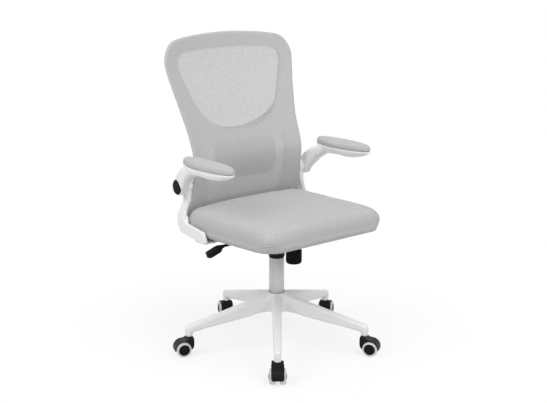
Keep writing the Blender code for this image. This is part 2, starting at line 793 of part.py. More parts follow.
def bracket_in():
    """Inner face of the bracket's lower leg, beside the seat."""
    return max(SEAT_HALF, eye_in()) + BRACKET_ROOM


def eye_in():
    """Inner face of the bracket at the arm's pivot, beside the back."""
    return half_width(ARM_PIVOT_Z) + EYE_ROOM


def leaned(mesh):
    """Brings the upper part of the bracket's plate in to the back."""
    for vertex in mesh.vertices:
        share = min(max((vertex.co.z - LEAN_FROM) / (LEAN_TO - LEAN_FROM), 0.0), 1.0)
        vertex.co.x -= (bracket_in() - eye_in()) * share * share * (3.0 - 2.0 * share)
    return mesh


def bracket():
    """The bracket on +X: J-shaped plate, eye and pin for the arm, and a foot under the seat pan."""
    top = SEAT_BASE - PAN_T - 2.0 * GAP
    y, z = ARM_PIVOT_Y, ARM_PIVOT_Z
    low = (seat_matrix() @ Vector((0.0, TIP_Y - PIN_Y, top - FOOT_T))).z
    inside = 0.8 * EYE_R
    heel = y + 0.65 * LEG_REAR
    corner = TIP_SLOPE / 3.0
    outline = rounded((
        (y - inside, z, 0.0), (y - 0.75 * EYE_R, z - LEG_NECK, HEEL_R),
        (y - LEG_FRONT, z - 0.87 * KNEE_DROP, HEEL_R), (y - 0.2 * CROTCH_DROP, z - CROTCH_DROP, HEEL_R / 2.0),
        (TIP_Y + TIP_SLOPE, low + TIP_HIGH, corner), (TIP_Y, low, corner), (heel, low + HEEL_RISE, HEEL_R),
        (y + LEG_REAR, z - KNEE_DROP, HEEL_R), (y + 0.45 * LEG_REAR, z - LEG_NECK, HEEL_R),
        (y + inside, z, 0.0),
    ), 4)
    middle = bracket_in() + BRACKET_T / 2.0
    plate = leaned(moved(slab(outline, BRACKET_T), sideways(middle)))
    near = eye_in()
    far = near + BRACKET_T
    plate = union(plate, bar(EYE_R, (near, y, z), (far, y, z), 28))
    pin_end = far + ARM_HUB_T - CAP_SINK
    plate = union(plate, bar(PIVOT_PIN_R, (near + BRACKET_T / 2.0, y, z), (pin_end, y, z), 16))
    foot = box((FOOT_IN, FOOT_FRONT - PIN_Y, top - FOOT_T), (middle, FOOT_REAR - PIN_Y, top))
    return union(plate, moved(foot, seat_matrix()))


# Back

def side_y(z):
    """Side profile of the back at a height."""
    curve = smooth(BACK_PROFILE, closed=False)
    return float(np.interp(z, [p[0] for p in curve], [p[1] for p in curve]))


def back_y(x, z):
    """Rear face of the mesh."""
    return side_y(z) + BACK_DISH * (1.0 - (x / BACK_DISH_HALF) ** 2)


def back_curve(steps):
    """The whole outline, from the top middle round by +X."""
    half = list(BACK_OUTLINE)
    other = [(-x, z) for x, z in reversed(half[1:])]
    return smooth(half + other, closed=True, steps=steps)


def edge_steps():
    """Points of the back's edge for each point of its outline."""
    corners = back_curve(1)
    around = sum((b - a).length for a, b in zip(corners, corners[1:] + corners[:1]))
    return max(1, round(around / len(corners) / EDGE_PITCH))


def half_width(z):
    """Half of the back's width at a height."""
    side = [p for p in back_curve(8) if p.x > 0.0]
    side.sort(key=lambda p: p.y)
    return float(np.interp(z, [p.y for p in side], [p.x for p in side]))


def window_outline(shares):
    """Shield shape, at shares of its length from its top middle round by +X."""
    half = list(WINDOW_OUTLINE)
    other = [(-x, z) for x, z in reversed(half[1:-1])]
    curve = smooth(half + other, closed=True, steps=8)
    curve.append(curve[0])
    reach = np.cumsum([0.0] + [(b - a).length for a, b in zip(curve, curve[1:])])
    spots = np.array(shares) * reach[-1]
    axes = [np.interp(spots, reach, [point[k] for point in curve]) for k in (0, 1)]
    return [Vector((float(x), float(z))) for x, z in zip(*axes)]


def hollow(x, z):
    """Depth of the frame's hollow behind the lumbar pad."""
    aside = max(abs(x) - LUMBAR_HALF_WIDE - HOLLOW_EASE, 0.0)
    above = max(abs(z - LUMBAR_Z) - LUMBAR_HALF_HIGH - LUMBAR_TRAVEL - HOLLOW_EASE, 0.0)
    away = min(math.hypot(aside, above) / HOLLOW_MARGIN, 1.0)
    ease = 1.0 - away * away * (3.0 - 2.0 * away)
    return (LUMBAR_AHEAD + LUMBAR_T + LUMBAR_BEHIND) * ease


def frame_face(x, z):
    """Front face of the frame."""
    return back_y(x, z) + GAP + hollow(x, z)


def back_rings():
    """Flat rings from the back's outline in to the window."""
    edge = back_curve(edge_steps())
    reach = np.cumsum([(b - a).length for a, b in zip(edge, edge[1:] + edge[:1])])
    hole = window_outline([0.0] + list(reach[:-1] / reach[-1]))
    return [[a.lerp(b, k / BACK_STEPS) for a, b in zip(edge, hole)] for k in range(BACK_STEPS + 1)]


def frame_ring():
    """Skin of the frame: its front face from the outline in to the window, then its rear face out again."""
    flat = back_rings()
    rings = [[(x, frame_face(x, z), z) for x, z in ring] for ring in flat]
    rings += [[(x, frame_face(x, z) + FRAME_T, z) for x, z in ring] for ring in reversed(flat)]
    return loft(rings, around=True, frontal=True)


def rail_face():
    """Front face of the rail that the lumbar pad's guide runs on."""
    return frame_face(0.0, LUMBAR_Z) - RAIL_HEIGHT


def low_window():
    """Cutter for the opening round the lumbar pad, with a tongue left in it for the pad's rail."""
    half, low, high = LOW_WINDOW_HALF_WIDE, LOW_WINDOW_BOTTOM, LOW_WINDOW_TOP
    corners = ((half, low), (half, high), (-half, high), (-half, low))
    outline = rounded([(x, z, LOW_WINDOW_CORNER) for x, z in corners], 5)
    front = back_y(half, LUMBAR_Z)
    deep = back_y(0.0, low) - front + 2.0 * (hollow(0.0, LUMBAR_Z) + FRAME_T)
    place = Matrix.Translation((0.0, front + deep / 4.0, 0.0)) @ Matrix.Rotation(math.pi / 2.0, 4, "X")
    opening = moved(slab(outline, 2.0 * deep), place)
    wide = GUIDE_HALF_WIDE + TONGUE_EDGE
    foot = LUMBAR_Z - RAIL_HALF_HIGH - TONGUE_EDGE
    return cut(opening, box((-wide, front - 2.0 * deep, foot), (wide, front + 2.0 * deep, high + deep)))


def back_frame():
    frame = frame_ring()
    low = LUMBAR_Z - RAIL_HALF_HIGH
    high = LUMBAR_Z + RAIL_HALF_HIGH
    deep = max(frame_face(0.0, low), frame_face(0.0, high)) + FRAME_T / 2.0
    frame = cut(frame, low_window())
    frame = union(frame, box((-GUIDE_HALF_WIDE, rail_face(), low), (GUIDE_HALF_WIDE, deep, high)))
    root = half_width(ARM_PIVOT_Z) - BACK_BOSS_R
    y = back_y(root, ARM_PIVOT_Z) + BACK_BOSS_CLEAR + BACK_BOSS_R
    for sign in (1.0, -1.0):
        inner = (sign * root, y, ARM_PIVOT_Z)
        outer = (sign * (eye_in() - GAP), y, ARM_PIVOT_Z)
        frame = union(frame, bar(BACK_BOSS_R, inner, outer, 16))
    return frame


def cross_section(half, z, front, rear, steps):
    """Closed section of a bent sheet at a height."""
    across = [half * (2.0 * k / steps - 1.0) for k in range(steps + 1)]
    ahead = [(x, front(x, z), z) for x in across]
    behind = [(x, rear(x, z), z) for x in reversed(across)]
    return ahead + behind


def back_mesh():
    """Sheet over the frame's front face and across its window."""
    flat = back_rings()
    middle = Vector((0.0, WINDOW_Z))
    hole = flat[-1]
    for share in (0.30, 0.60, 0.90):
        flat.append([point.lerp(middle, share) for point in hole])
    rings = [[(x, back_y(x, z) - MESH_T, z) for x, z in ring] for ring in reversed(flat)]
    rings += [[(x, back_y(x, z), z) for x, z in ring] for ring in flat]
    return loft(rings, frontal=True)


def lumbar_pad():
    high = LUMBAR_HALF_HIGH
    wide = LUMBAR_HALF_WIDE
    rows = 10

    def front(x, z):
        return back_y(x, z) + LUMBAR_AHEAD

    def rear(x, z):
        return front(x, z) + LUMBAR_T

    sections = []
    for k in range(rows + 1):
        rise = -math.cos(math.pi * k / rows) * high
        into = max(abs(rise) - (high - LUMBAR_CORNER), 0.0)
        half = wide - LUMBAR_CORNER + math.sqrt(max(LUMBAR_CORNER ** 2 - into * into, 0.0))
        sections.append(cross_section(half, LUMBAR_Z + rise, front, rear, 6))
    pad = loft(sections)
    wide = GUIDE_HALF_WIDE - GUIDE_EASE
    low = (-wide, front(0.0, LUMBAR_Z) + LUMBAR_T / 2.0, LUMBAR_Z - GUIDE_HALF_HIGH)
    return union(pad, box(low, (wide, rail_face() - GAP, LUMBAR_Z + GUIDE_HALF_HIGH)))


def back(root):
    piece("back_frame", back_frame(), LOOKS["pale"], root)
    piece("back_mesh", back_mesh(), LOOKS["mesh"], root)
    piece("lumbar_pad", lumbar_pad(), LOOKS["pale"], root)


# Arms

def hub_sides():
    """Inner and outer face of the arm's hub."""
    near = eye_in() + BRACKET_T + GAP
    return near, near + ARM_HUB_T


def pad_matrix():
    x = sum(hub_sides()) / 2.0 + PAD_OUT
    return Matrix.Translation((x, PAD_Y, PAD_SEAM_Z)) @ Matrix.Rotation(-PAD_RISE, 4, "X")


def pad_ring(inset, height, count=32):
    ring = []
    for k in range(count):
        angle = math.tau * k / count
        c = math.cos(angle)
        s = math.sin(angle)
        x = (PAD_HALF_WIDE - inset) * math.copysign(abs(c) ** PAD_SQUARE, c)
        y = (PAD_HALF_LONG - inset) * math.copysign(abs(s) ** PAD_SQUARE, s)
        ring.append((x, y, height))
    return ring


def arm_pad():
    """Soft pad: drawn in at the seam, full at the sides, crowned on top."""
    rows = ((0.07, 0.0), (0.0, 0.22), (0.0, 0.42), (0.07, 0.64), (0.22, 0.84), (0.45, 0.95), (0.80, 1.0))
    rings = [pad_ring(part * PAD_HALF_WIDE, GAP + share * PAD_T) for part, share in rows]
    return moved(loft(rings), pad_matrix())


def arm_shell():
    rows = ((0.62, -1.0), (0.26, -0.74), (0.08, -0.36), (0.02, 0.0))
    rings = []
    for part, share in rows:
        ring = pad_ring(part * PAD_HALF_WIDE, 0.0)
        deep = share * SHELL_DEPTH
        rings.append([(x, y, deep * (1.0 + SHELL_TAPER * y / PAD_HALF_LONG)) for x, y, z in ring])
    return moved(loft(rings), pad_matrix())


def arm_neck():
    """Sweeps up from the hub to the shell, growing wider as it goes."""
    hub = Vector((ARM_PIVOT_Y, ARM_PIVOT_Z))
    end = Vector((NECK_END_Y, PAD_SEAM_Z - 0.5 * SHELL_DEPTH))
    across = (end - hub).normalized()
    up = Vector((across.y, -across.x))
    stops = (0.0, 0.26, 0.52, 0.78, 1.0)
    path = [hub.lerp(end, share) + up * NECK_BOW * math.sin(math.pi * share) for share in stops]
    thick = (NECK_T, NECK_T, 0.88 * NECK_T, 0.70 * NECK_T, 0.42 * NECK_T)
    middle = sum(hub_sides()) / 2.0
    rings = []
    for k, (share, centre) in enumerate(zip(stops, path)):
        ahead = (path[min(k + 1, len(path) - 1)] - path[max(k - 1, 0)]).normalized()
        normal = Vector((-ahead.y, ahead.x))
        wide = 0.48 * ARM_HUB_T + share * (0.72 * PAD_HALF_WIDE - 0.48 * ARM_HUB_T)
        ring = []
        for u, v in section(wide, -thick[k], thick[k], 0.5 * wide, 2):
            spot = centre + normal * v
            ring.append((middle + share * PAD_OUT + u, spot.x, spot.y))
        rings.append(ring)
    return loft(rings)


def arm():
    """The arm on +X, about its pivot."""
    near, far = hub_sides()
    y, z = ARM_PIVOT_Y, ARM_PIVOT_Z
    body = union(bar(ARM_HUB_R, (near, y, z), (far, y, z), 28), arm_neck(), arm_shell())
    beyond = far + ARM_HUB_T
    body = cut(body, bar(CAP_R + GAP, (far - CAP_SINK, y, z), (beyond, y, z), 28))
    return cut(body, bar(PIVOT_PIN_R + GAP, (near - ARM_HUB_T, y, z), (beyond, y, z), 16))


def hub_cap():
    edge = CAP_T / 3.0
    cap = turned(((0.0, CAP_T), (CAP_R - edge, CAP_T), (CAP_R, CAP_T - edge), (CAP_R, 0.0), (0.0, 0.0)), 28)
    floor = hub_sides()[1] - CAP_SINK + GAP
    turn = Matrix.Rotation(math.pi / 2.0, 4, "Y")
    return moved(cap, Matrix.Translation((floor, ARM_PIVOT_Y, ARM_PIVOT_Z)) @ turn)


def sides(root):
    """Brackets, arms, pads and caps on both sides; +X is the sitter's left."""
    shapes = (
        ("arm", arm(), "white"), ("arm_pad", arm_pad(), "cloth"), ("arm_cap", hub_cap(), "black"),
    )
    brace = bracket()
    from_pivot = Matrix.Translation((0.0, -ARM_PIVOT_Y, -ARM_PIVOT_Z))
    for side in ("left", "right"):
        mesh = brace if side == "left" else mirrored(brace)
        piece(f"bracket_{side}", mesh, LOOKS["white"], root)
        axis = pivot(f"arm_axis_{side}", (0.0, ARM_PIVOT_Y, ARM_PIVOT_Z), root)
        for name, shape, look in shapes:
            mesh = shape.copy() if side == "left" else mirrored(shape)
            piece(f"{name}_{side}", moved(mesh, from_pivot), LOOKS[look], axis)


def build():
    root = pivot("column_axis", (0.0, COLUMN_Y, 0.0))
    seat = pivot("tilt_axis", (0.0, PIN_Y, PIN_Z), root, (-SEAT_TILT, 0.0, 0.0))
    piece("star_base", star_base(), LOOKS["white"], root)
    casters(root)
    gas_lift(root)
    mechanism(root, seat)
    seat_parts(seat)
    back(root)
    sides(root)


empty_scene()
PARTS = bpy.data.collections.new("office_chair")
bpy.context.scene.collection.children.link(PARTS)
LOOKS = {
    "white": material("white_plastic", WHITE, 0.38),
    "pale": material("pale_plastic", PALE_GREY, 0.5),
    "mesh": material("mesh_fabric", CLOTH_GREY, 0.9),
    "cloth": material("seat_fabric", CLOTH_GREY, 0.95),
    "black": material("black_plastic", BLACK, 0.42),
    "steel": material("steel", STEEL, 0.35, 1.0),
}
build()
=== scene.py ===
# %% [markdown]
# # A white office chair
# The chair already exists as plain solids, packed with its joints. This lesson dresses it: it loads those
# solids as a fixed frame, then lays finer surfaces and real finishes over them, one piece at a time. Each
# solid keeps its place, so every new piece can be measured from the solid that it stands for.

# %% Load the frame
import json
import math

import bmesh
import bpy
import numpy as np
from mathutils import Matrix, Vector

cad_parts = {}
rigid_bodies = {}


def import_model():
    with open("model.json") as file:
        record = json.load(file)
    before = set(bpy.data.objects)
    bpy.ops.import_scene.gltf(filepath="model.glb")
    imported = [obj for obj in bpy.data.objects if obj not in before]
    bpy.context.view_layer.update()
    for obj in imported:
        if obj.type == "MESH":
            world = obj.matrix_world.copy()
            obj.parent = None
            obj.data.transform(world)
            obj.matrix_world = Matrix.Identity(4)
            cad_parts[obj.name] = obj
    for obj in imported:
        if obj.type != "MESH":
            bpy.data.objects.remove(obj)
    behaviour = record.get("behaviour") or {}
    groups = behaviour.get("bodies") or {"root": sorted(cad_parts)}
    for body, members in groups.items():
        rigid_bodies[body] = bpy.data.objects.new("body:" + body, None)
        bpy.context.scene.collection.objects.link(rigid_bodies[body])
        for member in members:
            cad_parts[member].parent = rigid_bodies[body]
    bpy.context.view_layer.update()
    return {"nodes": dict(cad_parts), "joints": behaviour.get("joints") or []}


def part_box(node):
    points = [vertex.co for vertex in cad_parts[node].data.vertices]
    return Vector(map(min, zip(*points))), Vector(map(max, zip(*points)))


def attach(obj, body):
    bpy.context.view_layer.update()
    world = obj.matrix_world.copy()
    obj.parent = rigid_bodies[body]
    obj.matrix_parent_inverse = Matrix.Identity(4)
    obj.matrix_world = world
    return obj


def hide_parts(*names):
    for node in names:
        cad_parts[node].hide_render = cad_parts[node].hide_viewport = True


for leftover in list(bpy.data.objects):
    bpy.data.objects.remove(leftover)
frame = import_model()
scene = bpy.context.scene

# %% [markdown]
# ## The camera
# A product picture is taken with a long lens from a little above the seat, so upright edges stay nearly
# parallel. The camera here stands ahead of the chair and to the sitter's right. Its aim is given as a
# direction, and to_track_quat turns a direction into a rotation without any roll.

# %% Camera
viewpoint = bpy.data.objects.new("viewpoint", bpy.data.cameras.new("viewpoint"))
scene.collection.objects.link(viewpoint)
viewpoint.location = (-1.946, -2.4705, 1.306)
viewpoint.rotation_euler = Vector((0.6001, 0.7591, -0.2526)).to_track_quat("-Z", "Y").to_euler()
viewpoint.data.lens = 65.7
viewpoint.data.sensor_width = 36.0
scene.camera = viewpoint
print("camera stands", round(viewpoint.location.length, 2), "m from the chair's foot")

# %% [markdown]
# ## Shader sums as Python
# A finish is a small sum: a colour, plus a little noise, times a mask. Written as nodes by hand that
# takes dozens of lines, so one class wraps a socket and lets Python's own operators add the Math nodes.
# Every other node comes from its add method: the node's type, then its settings, then the values or links
# of its sockets.

# %% Shader class
class Tone:
    """A socket whose arithmetic adds Math nodes to its tree."""

    def __init__(self, tree, socket=None):
        self.tree = tree
        self.socket = socket

    def add(self, kind, settings=None, sockets=None, out=0):
        node = self.tree.nodes.new(kind)
        for name, value in (settings or {}).items():
            setattr(node, name, value)
        for name, value in (sockets or {}).items():
            if isinstance(value, Tone):
                self.tree.links.new(value.socket, node.inputs[name])
            else:
                node.inputs[name].default_value = value
        return Tone(self.tree, node.outputs[out] if node.outputs else None)

    def sum(self, operation, *values):
        return self.add("ShaderNodeMath", {"operation": operation}, dict(enumerate(values)))

    def __add__(self, other):
        return self.sum("ADD", self, other)

    def __sub__(self, other):
        return self.sum("SUBTRACT", self, other)

    def __rsub__(self, other):
        return self.sum("SUBTRACT", other, self)

    def __mul__(self, other):
        return self.sum("MULTIPLY", self, other)

    __radd__ = __add__
    __rmul__ = __mul__

    def wave(self):
        """Half of 1 + sine, from 0 to 1."""
        return self.sum("SINE", self) * 0.5 + 0.5

    def ease(self, low, high):
        """0 below low, 1 above high, smooth between."""
        limits = {"Value": self, "From Min": low, "From Max": high}
        return self.add("ShaderNodeMapRange", {"interpolation_type": "SMOOTHSTEP"}, limits)

    def colour(self, first, second):
        """Mixes two colours, with this tone as the share of the second."""
        return self.add("ShaderNodeMix", {"data_type": "RGBA"}, {0: self, 6: first, 7: second}, out=2)


def grey(level, tint=(1.0, 1.0, 1.0)):
    return (level * tint[0], level * tint[1], level * tint[2], 1.0)


def begin(name):
    """An empty material, and a tone that adds its nodes."""
    material = bpy.data.materials.new(name)
    material.use_nodes = True
    material.node_tree.nodes.clear()
    return material, Tone(material.node_tree)


print("operators ready:", [name for name in vars(Tone) if name.startswith("__r")])

# %% [markdown]
# ## Stage and light
# A catalogue picture stands on a white sweep under big soft boxes. A true sweep would throw light back on
# to the chair, so the floor and the world are white only for rays that come from the camera, a reflection
# or a clear piece. Near the chair the floor is partly a matt surface, so it keeps the soft shadow;
# further out it fades to white.

# %% Floor and world
def seen_by_eye(start):
    """1 for rays from the camera, a reflection or a clear piece."""
    seen = start.add("ShaderNodeLightPath", out="Is Camera Ray")
    for ray in ("Is Glossy Ray", "Is Transmission Ray"):
        seen = seen.sum("MAXIMUM", seen, start.add("ShaderNodeLightPath", out=ray))
    return seen


def floor_finish():
    material, start = begin("floor_white")
    seen = seen_by_eye(start)
    place = start.add("ShaderNodeTexCoord", out="Object")
    speck = start.add("ShaderNodeTexNoise", None, {"Vector": place, "Scale": 60.0, "Detail": 2.0}, out="Fac")
    paint = speck.colour(grey(1.0), grey(0.98))
    dull = speck.colour(grey(0.70), grey(0.68))
    away = start.add("ShaderNodeVectorMath", {"operation": "LENGTH"}, {0: place}, out="Value")
    matt = start.add("ShaderNodeBsdfDiffuse", None, {"Color": seen.colour(dull, paint)})
    bright = start.add("ShaderNodeEmission", None, {"Color": grey(1.0), "Strength": 1.0})
    share = seen * (0.74 + away.ease(0.25, 0.9) * 0.26)
    cover = start.add("ShaderNodeMixShader", None, {0: share, 1: matt, 2: bright})
    start.add("ShaderNodeOutputMaterial", None, {"Surface": cover})
    return material


shape = bmesh.new()
bmesh.ops.create_grid(shape, x_segments=2, y_segments=2, size=9.0)
floor_mesh = bpy.data.meshes.new("floor")
shape.to_mesh(floor_mesh)
shape.free()
floor_mesh.materials.append(floor_finish())
floor = bpy.data.objects.new("floor", floor_mesh)
scene.collection.objects.link(floor)
print("floor", [round(side, 1) for side in floor.dimensions])

world = bpy.data.worlds.new("studio")
scene.world = world
world.use_nodes = True
world.node_tree.nodes.clear()
sky = Tone(world.node_tree)
room_light = 0.36
strength = room_light + seen_by_eye(sky) * (1.0 - room_light)
glow = sky.add("ShaderNodeBackground", None, {"Color": grey(1.0), "Strength": strength})
sky.add("ShaderNodeOutputWorld", None, {"Surface": glow})
scene.view_settings.view_transform = "Standard"
print("room light", room_light)

# %% Soft boxes
def soft_box(name, place, aim, size, watts):
    lamp = bpy.data.lights.new(name, "AREA")
    lamp.shape = "DISK"
    lamp.size = size
    lamp.energy = watts
    box = bpy.data.objects.new(name, lamp)
    scene.collection.objects.link(box)
    box.location = place
    box.rotation_euler = (Vector(aim) - Vector(place)).to_track_quat("-Z", "Y").to_euler()
    return box


boxes = [
    soft_box("left_box", (-2.6, 0.1, 2.4), (0.0, 0.0, 0.5), 2.6, 50.0),
    soft_box("front_box", (-0.2, -3.0, 2.5), (0.0, 0.0, 0.5), 2.6, 45.0),
    soft_box("high_box", (0.8, -1.3, 3.3), (0.0, 0.0, 0.5), 2.6, 30.0),
    soft_box("rear_box", (0.9, 2.5, 2.8), (0.0, 0.0, 0.5), 2.4, 17.0),
]
print("soft boxes:", [(box.name, box.data.energy) for box in boxes])

# %% [markdown]
# ## Moulded plastic
# Most of the chair is injection-moulded. Such plastic isn't smooth: the steel mould is etched, which
# leaves a fine pebbled skin, and the colour drifts slightly where the melt met. One function writes every
# moulded finish from two close shades, a roughness and the depth of that skin.

# %% Moulded finishes
def complete(material, start, sockets):
    shader = start.add("ShaderNodeBsdfPrincipled", None, sockets)
    start.add("ShaderNodeOutputMaterial", None, {"Surface": shader})
    return material


def noise(start, place, scale, detail=2.0):
    sockets = {"Vector": place, "Scale": scale, "Detail": detail}
    return start.add("ShaderNodeTexNoise", None, sockets, out="Fac")


def bump(start, height, strength, distance):
    return start.add("ShaderNodeBump", None, {"Strength": strength, "Distance": distance, "Height": height})


def moulding(name, light, dark, roughness, skin, scuff=0.0, gloss=0.5):
    material, start = begin(name)
    place = start.add("ShaderNodeTexCoord", out="Object")
    drift = noise(start, place, 7.0, 3.0).ease(0.3, 0.7)
    pebble = noise(start, place, 1500.0, 1.0)
    rubbed = noise(start, place, 55.0, 6.0).ease(0.56, 0.72) * scuff
    return complete(material, start, {
        "Base Color": drift.colour(light, dark),
        "Roughness": pebble * 0.10 + drift * 0.05 + rubbed * 0.3 + (roughness - 0.07),
        "Normal": bump(start, pebble + rubbed * 0.6, skin, 0.0003),
        "Specular IOR Level": gloss,
    })


WHITE = (1.0, 1.003, 1.006)
white_moulding = moulding("white_moulding", grey(0.87, WHITE), grey(0.85, WHITE), 0.36, 0.10)
wheel_nylon = moulding("wheel_nylon", grey(0.80, WHITE), grey(0.74, WHITE), 0.42, 0.10, scuff=0.6)
# Pale moulding for the back frame: partly its own paler tone, partly painted shade from the mesh over it.
pale_shaded_moulding = moulding("pale_shaded_moulding", grey(0.60, WHITE), grey(0.56, WHITE), 0.50, 0.14)
# Lumbar moulding, darker still: painted shade for the pad lying behind the mesh.
lumbar_shaded_moulding = moulding("lumbar_shaded_moulding", grey(0.44, WHITE), grey(0.41, WHITE), 0.50, 0.14)
black_moulding = moulding("black_moulding", grey(0.007), grey(0.010), 0.44, 0.16, gloss=0.06)
hood_moulding = moulding("hood_moulding", grey(0.007), grey(0.010), 0.40, 0.16, scuff=0.8, gloss=0.12)
print("moulded finishes:", [finish.name for finish in bpy.data.materials if "moulding" in finish.name])

# %% [markdown]
# ## Metal
# Three metals show: the painted column, black powder coat on the lever and plate, and bare steel on pins
# and stems. Powder coat has an orange-peel ripple, about a millimetre across. Turned steel has fine rings
# round its axis, which stretched noise gives: a Mapping node squeezes the noise across the turning marks.

# %% Metal finishes
def painted(name, light, dark, roughness, coat, gloss=0.5):
    material, start = begin(name)
    place = start.add("ShaderNodeTexCoord", out="Object")
    drift = noise(start, place, 11.0, 2.0).ease(0.3, 0.7)
    peel = noise(start, place, 700.0, 2.0)
    return complete(material, start, {
        "Base Color": drift.colour(light, dark),
        "Roughness": peel * 0.08 + (roughness - 0.04),
        "Normal": bump(start, peel, 0.12, 0.0004),
        "Coat Weight": coat,
        "Coat Roughness": 0.25,
        "Specular IOR Level": gloss,
    })


def turned_steel(name, tint, squeeze):
    material, start = begin(name)
    place = start.add("ShaderNodeTexCoord", out="Object")
    stretched = start.add("ShaderNodeMapping", None, {"Vector": place, "Scale": squeeze})
    rings = noise(start, stretched, 60.0, 3.0)
    stain = noise(start, place, 40.0, 4.0).ease(0.45, 0.8)
    return complete(material, start, {
        "Base Color": stain.colour(grey(tint), grey(0.72 * tint)),
        "Metallic": 1.0,
        "Roughness": rings * 0.18 + stain * 0.12 + 0.18,
        "Normal": bump(start, rings, 0.15, 0.0002),
    })


column_enamel = painted("column_enamel", grey(0.75, WHITE), grey(0.72, WHITE), 0.32, 0.3)
black_coat = painted("black_coat", grey(0.007), grey(0.011), 0.46, 0.0, gloss=0.12)
bright_steel = turned_steel("bright_steel", 0.62, (1.0, 1.0, 12.0))
print("metals:", column_enamel.name, black_coat.name, bright_steel.name)

# %% [markdown]
# ## Cloth
# The seat cover is a ribbed knit: broad ribs run cornerwise across the cushion and fold down over its
# sides, and each rib is built of small stitches. The pattern must turn over the edge with the cloth, so
# it reads a UV map in metres that every cloth piece gets later, the place of each point when the cover is
# laid out flat.

# %% Knit
def on_flat(start):
    """Across and along on the cloth laid out flat, in metres."""
    flat = start.add("ShaderNodeUVMap", {"uv_map": "flat_cloth"})
    return [start.add("ShaderNodeSeparateXYZ", None, {"Vector": flat}, out=axis) for axis in ("X", "Y")]


def ribbed_knit(name, light, dark, rib, stitch):
    material, start = begin(name)
    across, along = on_flat(start)
    place = start.add("ShaderNodeTexCoord", out="Object")
    waver = (noise(start, place, 26.0, 2.0) - 0.5) * 1.6
    ribs = ((across + along) * (math.tau / (rib * math.sqrt(2.0))) + waver).wave()
    course = ((across - along) * (math.tau / (stitch * math.sqrt(2.0)))).wave()
    wale = ((across + along) * (math.tau / (stitch * math.sqrt(2.0)))).wave()
    loops = course * wale
    fuzz = noise(start, place, 900.0, 3.0)
    melange = noise(start, place, 240.0, 4.0).ease(0.35, 0.65)
    shade = ribs * 0.30 + loops * 0.20 + melange * 0.25 + fuzz * 0.25
    return complete(material, start, {
        "Base Color": shade.ease(0.1, 0.95).colour(dark, light),
        "Roughness": fuzz * 0.12 + 0.82,
        "Normal": bump(start, ribs * 0.28 + loops * 0.30 + fuzz * 0.30, 0.45, 0.0008),
        "Sheen Weight": 0.22,
        "Sheen Roughness": 0.5,
        "Specular IOR Level": 0.25,
    })


seat_knit = ribbed_knit("seat_knit", grey(0.56, WHITE), grey(0.42, WHITE), 0.0085, 0.0019)
print("knit:", seat_knit.name)

# %% [markdown]
# ## Mesh
# The back is a tight net: strong cords run slantwise across it, and between the crossings the light comes
# through. Cutting thousands of holes into the sheet would make it far too heavy, so the holes are an
# alpha pattern, also laid out on the flat cloth. Where the net lies bonded on its frame it is closed, and
# it opens gradually over each window: the sheet carries an attribute for that, from 0 to 1.

# %% Net
def net(name, light, dark, hole, band, slope):
    material, start = begin(name)
    across, along = on_flat(start)
    place = start.add("ShaderNodeTexCoord", out="Object")
    column = (across * (math.tau / hole)).wave()
    row = (along * (math.tau / hole)).wave()
    openness = start.add("ShaderNodeAttribute", {"attribute_name": "openness"}, out="Fac")
    opening = (column * row).ease(0.42, 0.58) * openness
    waver = (noise(start, place, 18.0, 2.0) - 0.5) * 1.2
    cords = ((along + across * slope) * (math.tau / band) + waver).wave()
    slub = noise(start, place, 300.0, 3.0)
    shade = cords * 0.42 + slub * 0.36 + row * 0.22
    return complete(material, start, {
        "Base Color": shade.ease(0.15, 0.85).colour(dark, light),
        "Roughness": slub * 0.2 + 0.62,
        "Normal": bump(start, cords * 0.4 + column * 0.3 + row * 0.3, 0.5, 0.0008),
        "Alpha": 1.0 - opening,
        "Sheen Weight": 0.12,
        "Specular IOR Level": 0.25,
    })


back_net = net("back_net", grey(0.545, WHITE), grey(0.435, WHITE), 0.0026, 0.0088, 0.43)
print("net:", back_net.name)

# %% [markdown]
# ## From plain solid to moulding
# A moulding has no sharp edge anywhere: the mould is rounded so that the plastic flows and comes out. The
# solids are right in size but crisp, so a copy of one is merged, cut into small even faces with a voxel
# remesh, and smoothed. The smoothing wears every edge down to a small radius and fills the inside
# corners, as a real mould does.

# %% Softening
def linked(name, mesh, finish):
    mesh.materials.clear()
    mesh.materials.append(finish)
    mesh.shade_smooth()
    piece = bpy.data.objects.new(name, mesh)
    scene.collection.objects.link(piece)
    return piece


def coated(node, finish):
    """Gives a solid that stays its finish."""
    solid = frame["nodes"][node]
    solid.data.materials.clear()
    solid.data.materials.append(finish)


def settle(piece, body, slot, *nodes):
    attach(piece, body)
    if nodes:
        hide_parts(*nodes)
    print(piece.name, len(piece.data.polygons), "faces, on", body)
    return piece


def points(mesh):
    return np.array([vertex.co for vertex in mesh.vertices])


def shifted(mesh, spots):
    mesh.vertices.foreach_set("co", spots.ravel())
    mesh.update()
    return mesh


def made(shape, name):
    mesh = bpy.data.meshes.new(name)
    shape.to_mesh(mesh)
    shape.free()
    return mesh


def merged(node):
    shape = bmesh.new()
    shape.from_mesh(frame["nodes"][node].data)
    bmesh.ops.remove_doubles(shape, verts=shape.verts, dist=1e-5)
    return made(shape, node)


def plain(work):
    """The object's mesh with its modifiers applied; the object itself goes."""
    graph = bpy.context.evaluated_depsgraph_get()
    mesh = bpy.data.meshes.new_from_object(work.evaluated_get(graph))
    bpy.data.objects.remove(work)
    return mesh


def boolean(work, tool, operation, solver="EXACT"):
    step = work.modifiers.new(operation.lower(), "BOOLEAN")
    step.operation = operation
    step.solver = solver
    step.object = tool
    tool.hide_render = True
    return tool


def middle(node):
    low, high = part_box(node)
    return (low + high) / 2.0


def rounded(work, voxel, rounds):
    even = work.modifiers.new("even", "REMESH")
    even.mode = "VOXEL"
    even.voxel_size = voxel
    wear = work.modifiers.new("wear", "SMOOTH")
    wear.factor = 0.5
    wear.iterations = rounds


def softened(node, voxel, rounds, cutter=None):
    work = linked(node + "_work", merged(node), white_moulding)
    if cutter:
        boolean(work, cutter, "DIFFERENCE")
    rounded(work, voxel, rounds)
    return plain(work)


